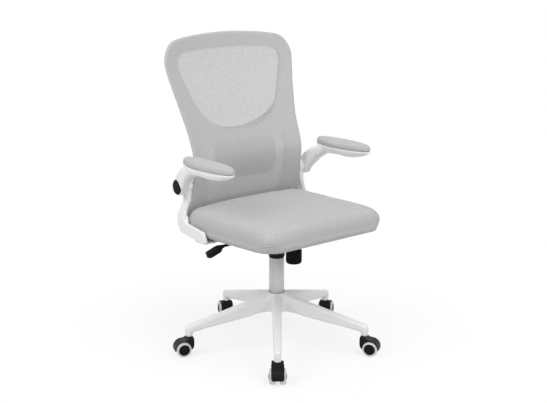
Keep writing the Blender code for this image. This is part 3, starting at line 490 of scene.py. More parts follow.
def blended(mesh, centre, full, none, rounds):
    """Wears a joint between two forms much rounder, out to a distance from a point."""
    work = linked("blend_work", mesh, white_moulding)
    spots = points(mesh)
    away = np.linalg.norm(spots - np.array(centre), axis=1)
    share = np.clip((none - away) / (none - full), 0.0, 1.0)
    group = work.vertex_groups.new(name="joint")
    for index in np.flatnonzero(share > 0.0):
        group.add([int(index)], float(share[index]), "REPLACE")
    wear = work.modifiers.new("wear", "SMOOTH")
    wear.factor = 0.5
    wear.iterations = rounds
    wear.vertex_group = "joint"
    return plain(work)


# %% [markdown]
# ## Star base
# Five tapering legs grow out of one hub. On the real base no edge shows where a leg leaves the hub,
# because the mould flows from one to the other, so the wear is much heavier round the hub's foot than
# along the legs. Underneath, each leg is hollow, as thick plastic would sink: a pocket is cut before the
# copy is softened, and ribs stand in it later.

# %% Star base
column_foot = middle("gas_tube")
column_foot.z = 0.0
swivels = [Vector(joint["pos_m"]) for joint in frame["joints"] if joint["name"].startswith("caster_swivel")]
pocket_from, pocket_to = 0.066, 0.258


def pocket_at(reach):
    """Half width and top of a leg's pocket, at a distance from the column."""
    share = (reach - pocket_from) / (pocket_to - pocket_from)
    return 0.0095 - 0.0020 * share, 0.152 - 0.050 * share


def out_along(leg, reach, aside, height):
    """Point on a leg: distance from the column, to its side, and height."""
    way = (leg - column_foot).xy.normalized()
    spot = way * reach + Vector((-way.y, way.x)) * aside
    return column_foot + Vector((*spot, height))


def pockets():
    shape = bmesh.new()
    for leg in swivels:
        corners = []
        for reach, floor in ((pocket_from, 0.090), (pocket_to, 0.050)):
            half, top = pocket_at(reach)
            corners += [out_along(leg, reach, side * half, z) for side in (-1.0, 1.0) for z in (floor, top)]
        bmesh.ops.convex_hull(shape, input=[shape.verts.new(corner) for corner in corners])
    bmesh.ops.recalc_face_normals(shape, faces=shape.faces)
    return made(shape, "pockets")


hollows = linked("pockets_work", pockets(), white_moulding)
star_skin = softened("star_base", 0.0020, 7, hollows)
bpy.data.objects.remove(hollows)
star_skin = blended(star_skin, column_foot + Vector((0.0, 0.0, 0.118)), 0.055, 0.095, 150)
settle(linked("star_base_moulding", star_skin, white_moulding), "base", "white_plastic", "star_base")
print("column stands at", [round(value, 4) for value in column_foot])

# %% [markdown]
# ## Turned pieces
# The column, the wheels, the knob and the caps are round, so each is a profile spun about its axis. The
# profile is given by its corners with a radius each. A spun profile may come out with its faces turned
# in, so the normals are worked out again once the surface is closed.

# %% Spinning
def eased(corners, steps=5, closed=False):
    """Points along (radius, height, rounding) corners."""
    spots = [Vector(corner[:2]) for corner in corners]
    path = []
    for index, (here, corner) in enumerate(zip(spots, corners)):
        ends = not closed and index in (0, len(spots) - 1)
        if ends or corner[2] == 0.0:
            path.append(here)
            continue
        back = (spots[index - 1] - here).normalized() * corner[2]
        ahead = (spots[(index + 1) % len(spots)] - here).normalized() * corner[2]
        for step in range(steps + 1):
            share = step / steps
            path.append(here + back * (1.0 - share) ** 2 + ahead * share ** 2)
    return path


def spun(corners, steps=64, closed=False, rounding=5):
    """Surface of revolution about Z; a radius of 0 closes on the axis."""
    shape = bmesh.new()
    rings = []
    for radius, height in eased(corners, rounding, closed):
        count = 1 if radius < 1e-6 else steps
        turns = [math.tau * k / steps for k in range(count)]
        rings.append([shape.verts.new((radius * math.cos(a), radius * math.sin(a), height)) for a in turns])
    pairs = list(zip(rings, rings[1:]))
    if closed:
        pairs.append((rings[-1], rings[0]))
    for low, high in pairs:
        for k in range(steps):
            near = [low[k % len(low)], low[(k + 1) % len(low)]]
            far = [high[(k + 1) % len(high)], high[k % len(high)]]
            shape.faces.new(list(dict.fromkeys(near + far)))
    bmesh.ops.recalc_face_normals(shape, faces=shape.faces)
    return made(shape, "spun")


def aimed(mesh, centre, along):
    """Turns a mesh from Z to a direction and sets it on a point."""
    turn = Vector((0.0, 0.0, 1.0)).rotation_difference(Vector(along)).to_matrix().to_4x4()
    mesh.transform(Matrix.Translation(centre) @ turn)
    return mesh


# %% Prisms
def prism(corners, front, rear):
    """Upright prism through (x, z) points, from one depth to another."""
    shape = bmesh.new()
    near = [shape.verts.new((x, front, z)) for x, z in corners]
    far = [shape.verts.new((x, rear, z)) for x, z in corners]
    shape.faces.new(near)
    shape.faces.new(far)
    for k in range(len(near)):
        after = (k + 1) % len(near)
        shape.faces.new((near[k], near[after], far[after], far[k]))
    bmesh.ops.recalc_face_normals(shape, faces=shape.faces)
    return made(shape, "prism")


def block(half_wide, low, high, front, rear, corner):
    """Upright block with rounded corners, as seen from the front."""
    corners = ((half_wide, low), (half_wide, high), (-half_wide, high), (-half_wide, low))
    return prism(eased([(x, z, corner) for x, z in corners], 6, True), front, rear)


def edged(work, width):
    ease = work.modifiers.new("ease", "BEVEL")
    ease.limit_method = "ANGLE"
    ease.angle_limit = math.radians(50.0)
    ease.width = width
    ease.segments = 3


print("prism and block ready")

# %% Gas lift
def on_column(name, node, body, slot, finish, corners, closed=True):
    skin = aimed(spun(corners, closed=closed), column_foot, (0, 0, 1))
    settle(linked(name, skin, finish), body, slot, node)


tube_low, tube_high = (corner.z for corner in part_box("gas_tube"))
on_column("gas_tube_enamel", "gas_tube", "base", "white_metal", column_enamel, (
    (0.0230, tube_high, 0.0), (0.0240, tube_high, 0.0005), (0.0250, tube_high - 0.0012, 0.0008),
    (0.0250, tube_low, 0.0), (0.0230, tube_low, 0.0),
))
bush_low, bush_high = (corner.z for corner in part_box("gas_bush"))
on_column("gas_bush_ring", "gas_bush", "base", "black_plastic", black_moulding, (
    (0.0143, bush_high - 0.0006, 0.0), (0.0160, bush_high, 0.0008), (0.0240, bush_high, 0.0010),
    (0.0250, bush_high - 0.0014, 0.0006), (0.0250, tube_high + 0.0003, 0.0),
    (0.0226, tube_high + 0.0003, 0.0), (0.0226, bush_low, 0.0), (0.0143, bush_low, 0.0),
))
steel_low, steel_high = (corner.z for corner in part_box("gas_cylinder"))
on_column("gas_cylinder_steel", "gas_cylinder", "lift", "steel", bright_steel, (
    (0.0, steel_high, 0.0), (0.0120, steel_high, 0.0006), (0.0140, steel_high - 0.0030, 0.0010),
    (0.0140, steel_low + 0.0015, 0.0008), (0.0125, steel_low, 0.0006), (0.0, steel_low, 0.0),
), closed=False)

# %% [markdown]
# ## Casters
# A caster carries two wheels under one hood. Each wheel is a white nylon tread with a domed black disc
# pressed into it, so the two are spun as separate pieces. The joints of the frame give each wheel's
# centre and axle. The hood is drawn once, in its own plane: a fender round the wheels that runs into the
# block over the stem, narrower at its lower edge and its shoulders. Two wheel wells are cut from that
# prism, a remesh and a smoothing round every edge, and each caster gets a turned copy.

# %% Hood
def arc(radius, start, end, steps):
    turns = [math.radians(start + (end - start) * k / steps) for k in range(steps + 1)]
    return [(radius * math.cos(turn), radius * math.sin(turn)) for turn in turns]


def rod(radius, place, along, length):
    corners = ((0.0, -length, 0.0), (radius, -length, 0.0), (radius, length, 0.0), (0.0, length, 0.0))
    return linked("rod_work", aimed(spun(corners, 48), Vector(place), along), hood_moulding)


fender, well, trail = 0.0287, 0.0263, 0.022
hood_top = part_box("caster_hood_1")[1].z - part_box("tyre_1a")[1].z / 2.0
block_path = eased((
    (0.0, 0.0287, 0.0), (-0.0085, 0.0296, 0.005), (-0.0180, hood_top, 0.006), (-0.0345, hood_top, 0.005),
    (-0.0345, 0.0060, 0.011), (-0.0285, -0.0030, 0.0),
), 5)
web_path = arc(0.0070, 200.0, 340.0, 6)
hood_path = arc(fender, -10.0, 88.0, 14) + [tuple(spot) for spot in block_path] + [(-0.0262, -0.0030)]
hood_path += web_path + arc(well, 25.0, -10.0, 5)
hood_half = 0.0204
hood_levels = (-0.0050, -0.0015, 0.0020, hood_top - 0.006, hood_top)
hood_widths = (0.80, 0.94, 1.0, 1.0, 0.82)
blank = linked("hood_work", prism(hood_path, -hood_half, hood_half), hood_moulding)
for vertex in blank.data.vertices:
    vertex.co.y *= float(np.interp(vertex.co.z, hood_levels, hood_widths))
edged(blank, 0.0026)
tools = [rod(well, (0.0, sign * 0.0312, 0.0), (0.0, 1.0, 0.0), 0.0250) for sign in (1.0, -1.0)]
tools.append(rod(0.0057, (-trail, 0.0, hood_top), (0.0, 0.0, 1.0), 0.0120))
tools.append(rod(0.0032, (0.0, 0.0, 0.0), (0.0, 1.0, 0.0), 0.0300))
for tool in tools:
    boolean(blank, tool, "DIFFERENCE")
rounded(blank, 0.0008, 5)
hood_shape = plain(blank)
for tool in tools:
    bpy.data.objects.remove(tool)
print("hood:", len(hood_shape.polygons), "faces")

# %% Wheels and hoods
tread_corners = (
    (0.0184, 0.0244, 0.0), (0.0190, 0.02575, 0.0006), (0.0222, 0.02575, 0.0026), (0.0250, 0.0205, 0.0046),
    (0.0250, 0.0100, 0.0026), (0.0228, 0.0069, 0.0018), (0.0184, 0.0069, 0.0),
)
disc_corners = (
    (0.0, 0.0284, 0.0), (0.0038, 0.0283, 0.0006), (0.0048, 0.0274, 0.0006), (0.0062, 0.0274, 0.0006),
    (0.0116, 0.0270, 0.0050), (0.0168, 0.0248, 0.0006), (0.0182, 0.0243, 0.0006), (0.0182, 0.0069, 0.0),
    (0.0, 0.0069, 0.0),
)
axles = {joint["name"]: joint for joint in frame["joints"]}
for number in range(1, 6):
    centre = Vector(axles[f"wheel_spin_{number}a"]["pos_m"])
    way = (centre - swivels[number - 1]).xy
    hood_mesh = hood_shape.copy()
    hood_mesh.transform(Matrix.Translation(centre) @ Matrix.Rotation(math.atan2(way.y, way.x), 4, "Z"))
    hood = linked(f"hood_{number}", hood_mesh, hood_moulding)
    settle(hood, f"caster_{number}", "black_plastic", f"caster_hood_{number}")
    for side in "ab":
        axle = axles[f"wheel_spin_{number}{side}"]
        centre = Vector(axle["pos_m"])
        outward = middle(f"tyre_{number}{side}") - centre
        outward.z = 0.0
        outward.normalize()
        ring = aimed(spun(tread_corners, 72, True), centre, outward)
        tread = linked(f"tread_{number}{side}", ring, wheel_nylon)
        settle(tread, f"wheel_{number}{side}", "white_plastic", f"tyre_{number}{side}")
        disc = linked(f"disc_{number}{side}", aimed(spun(disc_corners, 56), centre, outward), black_moulding)
        settle(disc, f"wheel_{number}{side}", "black_plastic", f"wheel_hub_{number}{side}")
    coated(f"caster_stem_{number}", bright_steel)
    coated(f"caster_axle_{number}", bright_steel)
print("casters: 5 hoods,", 2 * 5, "wheels")

# %% [markdown]
# ## Mechanism under the seat
# The tilt housing is a welded and powder-coated pressing, and the seat plate bolts to the pan above it.
# Both are mostly hidden, so softened copies are enough. Pins and rods are already round solids: they keep
# their shape and only get the right metal.

# %% Housing, plate, pan and lever
for node, body, voxel in (("tilt_housing", "swivel", 0.0014), ("seat_plate", "seat", 0.0014)):
    settle(linked(node + "_coat", softened(node, voxel, 3), black_coat), body, "black_metal", node)
pan = linked("seat_pan_moulding", softened("seat_pan", 0.0018, 3), black_moulding)
settle(pan, "seat", "black_plastic", "seat_pan")


def necked(mesh, root, axis, reach):
    """Draws a grip in towards its axis over a length from its root."""
    spots = points(mesh)
    share = np.clip((root - spots[:, 0]) / reach, 0.0, 1.0)
    slim = 0.56 + 0.44 * share ** 2 * (3.0 - 2.0 * share)
    spots[:, 1] = axis.y + (spots[:, 1] - axis.y) * slim
    spots[:, 2] = axis.z + (spots[:, 2] - axis.z) * slim
    return shifted(mesh, spots)


paddle_skin = necked(softened("lever_paddle", 0.0006, 6), -0.214, middle("lever_rod"), 0.016)
paddle = linked("lever_paddle_moulding", paddle_skin, black_moulding)
settle(paddle, "lever_pull", "black_plastic", "lever_paddle")
pivot = linked("lever_pivot_moulding", softened("lever_pivot", 0.0006, 6), black_moulding)
settle(pivot, "lever", "black_plastic", "lever_pivot")
coated("tilt_pin", bright_steel)
coated("lever_rod", black_coat)
print("pins left as solids: tilt_pin, lever_rod")

# %% [markdown]
# ## Cushion by cloth simulation
# The seat is foam under a tight cover. A block with rounded edges looks dead, because real foam pushes
# the cover out everywhere and the cover pulls back. So the solid is remeshed evenly, drawn in (the arm
# pads by under a millimetre, the seat not at all) and blown up again as cloth under pressure. The
# underside is pinned to the pan, and no point may move further than the cap. A last step gives the crown
# that upholsterers cut into the foam.

# %% Swelling
def swollen(node, voxel, shrink, cap, held, pressure=4.0):
    """Voxel remesh, draw in, then swell as cloth. held is the height under which points stay put."""
    work = linked(node + "_work", merged(node), white_moulding)
    rounded(work, voxel, 3)
    work = linked(node + "_cloth", plain(work), white_moulding)
    mesh = work.data
    spots = points(mesh)
    normals = np.array([vertex.normal for vertex in mesh.vertices])
    low = held(spots)
    drawn = spots - normals * np.where(low, 0.0, shrink)[:, None]
    shifted(mesh, drawn)
    pinned = work.vertex_groups.new(name="pinned")
    pinned.add([int(index) for index in np.flatnonzero(low)], 1.0, "REPLACE")
    cloth = work.modifiers.new("swell", "CLOTH")
    cloth.settings.vertex_group_mass = "pinned"
    cloth.settings.use_pressure = True
    cloth.settings.uniform_pressure_force = pressure
    cloth.settings.effector_weights.gravity = 0.0
    for moment in range(1, 21):
        scene.frame_set(moment)
    graph = bpy.context.evaluated_depsgraph_get()
    blown = work.evaluated_get(graph).to_mesh()
    swell = points(blown) - drawn
    work.evaluated_get(graph).to_mesh_clear()
    work.modifiers.remove(cloth)
    work.vertex_groups.remove(pinned)
    length = np.linalg.norm(swell, axis=1)
    swell *= np.minimum(1.0, cap / np.maximum(length, 1e-9))[:, None]
    shifted(mesh, drawn + swell)
    scene.frame_set(1)
    print(node, "swelled by", round(float(length.mean()) * 1000.0, 1), "mm, capped at", cap * 1000.0)
    finer = work.modifiers.new("finer", "SUBSURF")
    finer.levels = 1
    finer.render_levels = 1
    return plain(work)


seat_turn = Matrix.Translation((0.0, -0.0705, 0.357)) @ Matrix.Rotation(math.radians(-3.8), 4, "X")
to_seat = np.array(seat_turn.inverted())


def on_seat(spots):
    """Points in the seat's own level frame, from its tilt pin."""
    return spots @ to_seat[:3, :3].T + to_seat[:3, 3]


cushion_low, cushion_high = 0.0429, 0.1139
seat_half, seat_front, seat_rear, seat_corner = 0.246, -0.230, 0.212, 0.055
cushion_mesh = swollen(
    "seat_cushion", 0.0050, 0.0, 0.0030, lambda spots: on_seat(spots)[:, 2] < cushion_low + 0.006)


rear_x, rear_y, squareness = 0.217, 0.183, 0.32
seat_middle, seat_reach = (seat_front + seat_rear) / 2.0, (seat_rear - seat_front) / 2.0
crown, side_fall, front_fall = 0.010, 0.017, 0.011
under_high, edge_under, corner_under, corner_area = 0.048, 0.003, 0.015, 0.0015


def crowned(mesh):
    """Squares the rear corners, raises the middle and turns the lower edge under."""
    spots = points(mesh)
    level = on_seat(spots)
    turn = np.clip(np.column_stack((np.abs(level[:, 0]) - rear_x, level[:, 1] - rear_y)), 0.0, None)
    square = squareness * 2.0 * turn.prod(axis=1) / np.maximum((turn ** 2).sum(axis=1), 1e-9)
    level[:, 0] += np.sign(level[:, 0]) * turn[:, 0] * square
    level[:, 1] += turn[:, 1] * square
    across = np.clip(level[:, 0] / seat_half, -1.0, 1.0)
    along = np.clip((level[:, 1] - seat_middle) / seat_reach, -1.0, 1.0)
    front, rear = np.clip(-along, 0.0, 1.0), np.clip(along, 0.0, 1.0)
    rise = crown * (1.0 - across ** 2) * (1.0 - 0.35 * along ** 2)
    fall = side_fall * np.abs(across) ** 5 * (1.0 - 0.45 * rear - 0.40 * front) + front_fall * front ** 4
    share = np.clip((level[:, 2] - cushion_low - 0.010) / 0.050, 0.0, 1.0)
    level[:, 2] += (rise - fall) * share
    inside = np.array(((-seat_half, seat_front), (seat_half, seat_rear))) + ((seat_corner,), (-seat_corner,))
    out = level[:, :2] - np.clip(level[:, :2], *inside)
    corner = np.clip(np.abs(out[:, 0]) * np.clip(-out[:, 1], 0.0, None) / corner_area, 0.0, 1.0)
    under = np.clip((cushion_low + under_high - level[:, 2]) / under_high, 0.0, 1.0) ** 1.2
    level[:, :2] -= out / seat_corner * (under * (edge_under + corner_under * corner))[:, None]
    back = np.array(seat_turn)
    return shifted(mesh, level @ back[:3, :3].T + back[:3, 3])


cushion_mesh = crowned(cushion_mesh)
cushion = linked("seat_cushion_cover", cushion_mesh, seat_knit)
print("cushion:", len(cushion.data.polygons), "faces")

# %% [markdown]
# ## Laying the cover out flat
# A cover is cut flat, so its ribs run on from the top over the edge and down the side. For every point
# the script finds how far it lies below the top edge and moves it outwards by that much: the sides fold
# up into the plane. The result is kept as a UV map in metres, which the knit reads.

# %% Flat map of the cushion
def write_flat(mesh, flat):
    layer = mesh.uv_layers.new(name="flat_cloth")
    corners = np.zeros(len(mesh.loops), dtype=np.int32)
    mesh.loops.foreach_get("vertex_index", corners)
    layer.data.foreach_set("uv", flat[corners].astype(np.float32).ravel())


def unfolded(level, half_wide, front, rear, rim, edge):
    """Plan position with the sides folded out; rim is the corner radius and edge the top edge's height."""
    plan = level[:, :2].copy()
    centre = np.array((0.0, (front + rear) / 2.0))
    reach = np.array((half_wide, (rear - front) / 2.0)) - rim
    outside = np.clip(np.abs(plan - centre) - reach, 0.0, None) * np.sign(plan - centre)
    length = np.linalg.norm(outside, axis=1, keepdims=True)
    drop = np.clip(edge - level[:, 2:3], 0.0, None)
    return plan + outside / np.maximum(length, 1e-6) * drop


cover_spots = on_seat(points(cushion.data))
write_flat(cushion.data, unfolded(
    cover_spots, seat_half, seat_front, seat_rear, seat_corner, cushion_high - 0.015))
settle(cushion, "seat", "seat_fabric", "seat_cushion")

# %% [markdown]
# ## Brackets
# Two J-shaped brackets carry the back and the arms. They are thick mouldings with generous radii, so the
# softened solid gets more rounds of wear than the pressings had. Beside the back their inner faces are
# filled out to its edge, so that no light shows between the two.

# %% Brackets
back_heights = (0.485, 0.500, 0.515, 0.530, 0.545, 0.575)
back_rooms = (0.0, 0.0026, 0.0046, 0.0062, 0.0072, 0.0078)


def closed_up(mesh):
    """Fills a bracket's inner face out to the edge of the back that it carries."""
    spots = points(mesh)
    inner = np.clip((0.2425 - np.abs(spots[:, 0])) / 0.0115, 0.0, 1.0)
    reach = np.interp(spots[:, 2], back_heights, back_rooms) * inner
    spots[:, 0] -= np.sign(spots[:, 0]) * reach
    return shifted(mesh, spots)


for side in ("left", "right"):
    shell = closed_up(softened(f"bracket_{side}", 0.0013, 9))
    brace = linked(f"bracket_{side}_moulding", shell, white_moulding)
    settle(brace, "seat", "white_plastic", f"bracket_{side}")

# %% [markdown]
# ## The back's curve
# Seen from the side the back leans out above and below the lumbar, and seen from above it is dished. Both
# rules are repeated here from the solids: an outline, a side profile and a parabola across. With them the
# frame, the mesh and the lumbar pad can each be drawn as finely as they need, and they still fit each
# other.

# %% Rules of the back
outline_half = (
    (0.0, 1.0155), (0.105, 1.0115), (0.184, 1.0030), (0.224, 0.991), (0.250, 0.958), (0.256, 0.915),
    (0.237, 0.808), (0.224, 0.725), (0.221, 0.640), (0.2225, 0.540), (0.231, 0.467), (0.222, 0.436),
    (0.180, 0.425),
)
side_profile = (
    (0.425, 0.178), (0.520, 0.151), (0.605, 0.134), (0.660, 0.143), (0.760, 0.184), (0.900, 0.236),
    (1.020, 0.260),
)


def drawn_through(points, closed, steps):
    """Catmull-Rom curve through points, as rows of two numbers."""
    points = np.array(points, dtype=float)
    count = len(points)
    rows = []
    for index in range(count if closed else count - 1):
        near = [index + k for k in (-1, 0, 1, 2)]
        near = [k % count if closed else min(max(k, 0), count - 1) for k in near]
        a, b, c, d = points[near]
        for t in np.arange(steps) / steps:
            bend = (2 * a - 5 * b + 4 * c - d) * t ** 2 + (3 * b - a - 3 * c + d) * t ** 3
            rows.append(0.5 * (2 * b + (c - a) * t + bend))
    if not closed:
        rows.append(points[-1])
    return np.array(rows)


profile = drawn_through(side_profile, False, 12)


def back_y(x, z):
    """Rear face of the mesh, where the frame starts."""
    lean = np.interp(z, profile[:, 0], profile[:, 1])
    return lean + 0.026 * (1.0 - (x / 0.240) ** 2) + column_foot.y


def pad_hollow(x, z):
    """Depth of the frame's hollow behind the lumbar pad."""
    aside = np.clip(np.abs(x) - 0.138, 0.0, None)
    above = np.clip(np.abs(z - 0.615) - 0.098, 0.0, None)
    away = np.minimum(np.hypot(aside, above) / 0.072, 1.0)
    return 0.030 * (1.0 - away ** 2 * (3.0 - 2.0 * away))


mirror_half = [(-x, z) for x, z in reversed(outline_half[1:])]
rough = drawn_through(list(outline_half) + mirror_half, True, 24)


def evenly(curve, count):
    """Points at even spacing along a closed curve."""
    ring = np.vstack((curve, curve[:1]))
    reach = np.concatenate(([0.0], np.cumsum(np.linalg.norm(np.diff(ring, axis=0), axis=1))))
    where = np.linspace(0.0, reach[-1], count, endpoint=False)
    return np.column_stack([np.interp(where, reach, ring[:, axis]) for axis in (0, 1)])


outline = evenly(rough, 288)
print("back outline:", len(outline), "points, highest", round(float(outline[:, 1].max()), 4))

# %% [markdown]
# ## Back frame
# The frame is one moulding: a wide rim round a shield-shaped window, and a second opening where the
# lumbar pad rides on a tongue. It is skinned ring by ring: the front face from the rim in to the window,
# round the window's lip, and back along the rear face. A half circle of rings at each lip gives the
# rounded edge that a moulding has. The lower opening doesn't follow those rings, so it is cut with a
# Boolean, and a Bevel eases the edges that the cut leaves.

# %% Rings and skin
def inward(curve):
    """Unit normals to the left of a clockwise closed curve, which point in."""
    ahead = np.roll(curve, -1, axis=0) - np.roll(curve, 1, axis=0)
    normal = np.column_stack((ahead[:, 1], -ahead[:, 0]))
    normal /= np.linalg.norm(normal, axis=1, keepdims=True)
    centre = curve.mean(axis=0)
    facing = np.sign(((centre - curve) * normal).sum(axis=1).mean())
    return normal * facing


def skinned(rings, around, name):
    """Quads between rings of equal length; around joins the last ring to the first."""
    size = rings.shape[1]
    shape = bmesh.new()
    rows = [[shape.verts.new(spot) for spot in ring] for ring in rings]
    pairs = list(zip(rows, rows[1:]))
    if around:
        pairs.append((rows[-1], rows[0]))
    for low, high in pairs:
        for k in range(size):
            shape.faces.new((low[k], low[(k + 1) % size], high[(k + 1) % size], high[k]))
    bmesh.ops.recalc_face_normals(shape, faces=shape.faces)
    return made(shape, name)


def filled(mesh, *rings):
    """Closes a skin's end rings with flat faces."""
    shape = bmesh.new()
    shape.from_mesh(mesh)
    corners = list(shape.verts)
    for ring in rings:
        shape.faces.new(corners[ring])
    bmesh.ops.triangulate(shape, faces=[face for face in shape.faces if len(face.verts) > 4])
    bmesh.ops.recalc_face_normals(shape, faces=shape.faces)
    shape.to_mesh(mesh)
    shape.free()
    return mesh


window_half = (
    (0.0, 0.9665), (0.120, 0.9625), (0.176, 0.957), (0.201, 0.942), (0.206, 0.914), (0.192, 0.864),
    (0.162, 0.788), (0.122, 0.738), (0.062, 0.713), (0.0, 0.706),
)
window_other = [(-x, z) for x, z in reversed(window_half[1:-1])]
window_curve = drawn_through(list(window_half) + window_other, True, 24)
window_middle = np.array((0.0, 0.850))
window_turn = np.arctan2(*(window_curve - window_middle).T)
window_far = np.linalg.norm(window_curve - window_middle, axis=1)


def window_reach(aim):
    """Distance from the window's middle to its edge, in the direction of an angle."""
    return np.interp(aim, window_turn, window_far, period=math.tau)


outline_turn = np.arctan2(*(outline - window_middle).T)
window_rays = np.column_stack((np.sin(outline_turn), np.cos(outline_turn)))
window = window_middle + window_rays * window_reach(outline_turn)[:, None]
lip, rim_gap, net_gap = 0.005, 0.0008, 0.0006
rim_in = inward(outline)
window_out = -inward(window)


def frame_rings():
    rings = []
    rim = outline + rim_in * (rim_gap + lip)
    sill = window + window_out * lip
    steps = 26
    face = [rim + (sill - rim) * (k / steps) for k in range(steps + 1)]
    curl = [math.pi * k / 8 for k in range(1, 8)]
    for flat in face:
        rings.append((flat, 0.0))
    for angle in curl:
        rings.append((window + window_out * lip * (1.0 - math.sin(angle)), lip - lip * math.cos(angle)))
    for flat in reversed(face):
        rings.append((flat, 2.0 * lip))
    for angle in curl:
        edge = outline + rim_in * (rim_gap + lip * (1.0 - math.sin(angle)))
        rings.append((edge, lip + lip * math.cos(angle)))
    solid = []
    for flat, depth in rings:
        x, z = flat.T
        solid.append(np.column_stack((x, back_y(x, z) + net_gap + pad_hollow(x, z) + depth, z)))
    return np.array(solid)


# %% Lower opening, rail and bosses
low_half, low_sill, low_head, tongue_half, tongue_end = 0.170, 0.470, 0.675, 0.029, 0.577
low_side = (
    (low_half, low_sill, 0.050), (low_half, low_head, 0.050), (tongue_half, low_head, 0.010),
    (tongue_half, tongue_end, 0.008),
)
low_corners = low_side + tuple((-x, z, corner) for x, z, corner in reversed(low_side))
rail_face = back_y(0.0, 0.615) + 0.0263
boss_from, boss_long, boss_z = 0.2105, 0.0199, 0.546
blank = linked("back_frame_work", skinned(frame_rings(), True, "back_frame"), pale_shaded_moulding)
opening = linked("opening_work", prism(eased(low_corners, 8, True), 0.05, 0.40), pale_shaded_moulding)
tools = [boolean(blank, opening, "DIFFERENCE", "MANIFOLD")]
edged(blank, 0.0025)
rail = linked("rail_work", block(0.025, 0.581, 0.649, rail_face, rail_face + 0.009, 0.003), pale_shaded_moulding)
tools.append(boolean(blank, rail, "UNION", "MANIFOLD"))
for sign in (1.0, -1.0):
    boss_corners = ((0.0, 0.0, 0.0), (0.012, 0.0, 0.0), (0.012, boss_long, 0.0015), (0.0, boss_long, 0.0))
    place = Vector((sign * boss_from, back_y(boss_from, boss_z) + 0.014, boss_z))
    boss = linked("boss_work", aimed(spun(boss_corners, 40), place, (sign, 0.0, 0.0)), pale_shaded_moulding)
    tools.append(boolean(blank, boss, "UNION", "MANIFOLD"))
frame_mesh = plain(blank)
for tool in tools:
    bpy.data.objects.remove(tool)
back_frame = linked("back_frame_moulding", frame_mesh, pale_shaded_moulding)
frame_mesh.set_sharp_from_angle(angle=math.radians(40.0))
settle(back_frame, "seat", "pale_plastic", "back_frame")

# %% [markdown]
# ## Mesh sheet
# The mesh is stretched over the front of the frame and pulled round its rim. It is one sheet: rings grow
# from the middle of the back out to the outline, then take a quarter turn round the rim. Its flat map is
# simply the distance across and the distance along the curve from the lower edge.

# %% Mesh
def sheet_rings():
    centre = np.array((0.0, 0.735))
    rim = outline + rim_in * (rim_gap + lip)
    rings = [(centre + (rim - centre) * share, -0.0012) for share in np.linspace(0.03, 1.0, 76)]
    for angle in np.radians((-66.0, -42.0, -18.0, 6.0, 24.0)):
        bend = lip + 0.0010
        edge = outline + rim_in * (rim_gap + lip - bend * math.cos(angle))
        rings.append((edge, lip + bend * math.sin(angle)))
    solid = []
    for flat, depth in rings:
        x, z = flat.T
        solid.append(np.column_stack((x, back_y(x, z) + depth, z)))
    return np.array(solid)


sheet_mesh = filled(skinned(sheet_rings(), False, "back_mesh"), slice(len(outline)))
back_sheet = linked("back_mesh_net", sheet_mesh, back_net)
spots = points(sheet_mesh)
rise = np.concatenate(([0.0], np.cumsum(np.linalg.norm(np.diff(profile, axis=0), axis=1))))
write_flat(sheet_mesh, np.column_stack((spots[:, 0], np.interp(spots[:, 2], profile[:, 0], rise))))


fade, low_share = 0.018, 0.28


def opened(x, z):
    """How open the net is: full inside the window, less over the lower opening, closed on the frame."""
    apart = np.hypot(x[:, None] - window[None, :, 0], z[:, None] - window[None, :, 1]).min(axis=1)
    across, along = x - window_middle[0], z - window_middle[1]
    inside = np.hypot(across, along) < window_reach(np.arctan2(across, along))
    upper = np.clip(np.where(inside, apart, -apart) / fade + 0.5, 0.0, 1.0)
    aside = np.minimum(low_half - np.abs(x), np.minimum(low_head - z, z - low_sill))
    lower = np.clip(aside / fade, 0.0, 1.0)
    upper, lower = (share ** 2 * (3.0 - 2.0 * share) for share in (upper, lower))
    return np.maximum(upper, low_share * lower)


openness = sheet_mesh.attributes.new("openness", "FLOAT", "POINT")
openness.data.foreach_set("value", opened(spots[:, 0], spots[:, 2]).astype(np.float32))
cloth_area = sum(face.area for face in sheet_mesh.polygons)
settle(back_sheet, "seat", "mesh_fabric", "back_mesh")
print("mesh area", round(cloth_area, 4), "m2")

# %% [markdown]
# ## Lumbar pad
# Behind the mesh a stiff pad slides up and down to meet the sitter's back. It is a curved plate with
# rounded corners, a rolled edge and a few grip ridges across it, which show through the mesh.

# %% Lumbar pad
pad_count, pad_z, ridge_z, ridge_pitch = 144, 0.615, 0.580, 0.013


def pad_outline(inset):
    wide, high, corner = 0.126 - inset, 0.074 - inset, max(0.040 - inset, 0.004)
    corners = ((wide, high), (wide, -high), (-wide, -high), (-wide, high))
    path = np.array([tuple(spot) for spot in eased([(x, z, corner) for x, z in corners], 16, True)])
    return evenly(path, pad_count)


def pad_rings():
    thick = 0.008
    rings = []
    insets = list(np.linspace(0.070, 0.004, 34))
    for inset in insets:
        rings.append((pad_outline(inset), 0.0, 1.0))
    for angle in np.linspace(-60.0, 60.0, 7):
        inset = 0.004 * (1.0 - math.cos(math.radians(angle)))
        rings.append((pad_outline(inset), thick / 2.0 * (1.0 + math.sin(math.radians(angle))), 0.0))
    for inset in reversed(insets):
        rings.append((pad_outline(inset), thick, 0.0))
    solid = []
    for flat, depth, front in rings:
        x, z = flat[:, 0], flat[:, 1] + pad_z
        band = np.clip(1.0 - np.abs(z - ridge_z) / 0.030, 0.0, 1.0)
        band *= np.clip((0.098 - np.abs(x)) / 0.03, 0.0, 1.0)
        waves = 0.5 + 0.5 * np.cos(math.tau * (z - ridge_z) / ridge_pitch)
        ridge = 0.0016 * front * waves * np.minimum(band * 2.5, 1.0)
        solid.append(np.column_stack((x, back_y(x, z) + 0.008 + depth - ridge, z)))
    return np.array(solid)


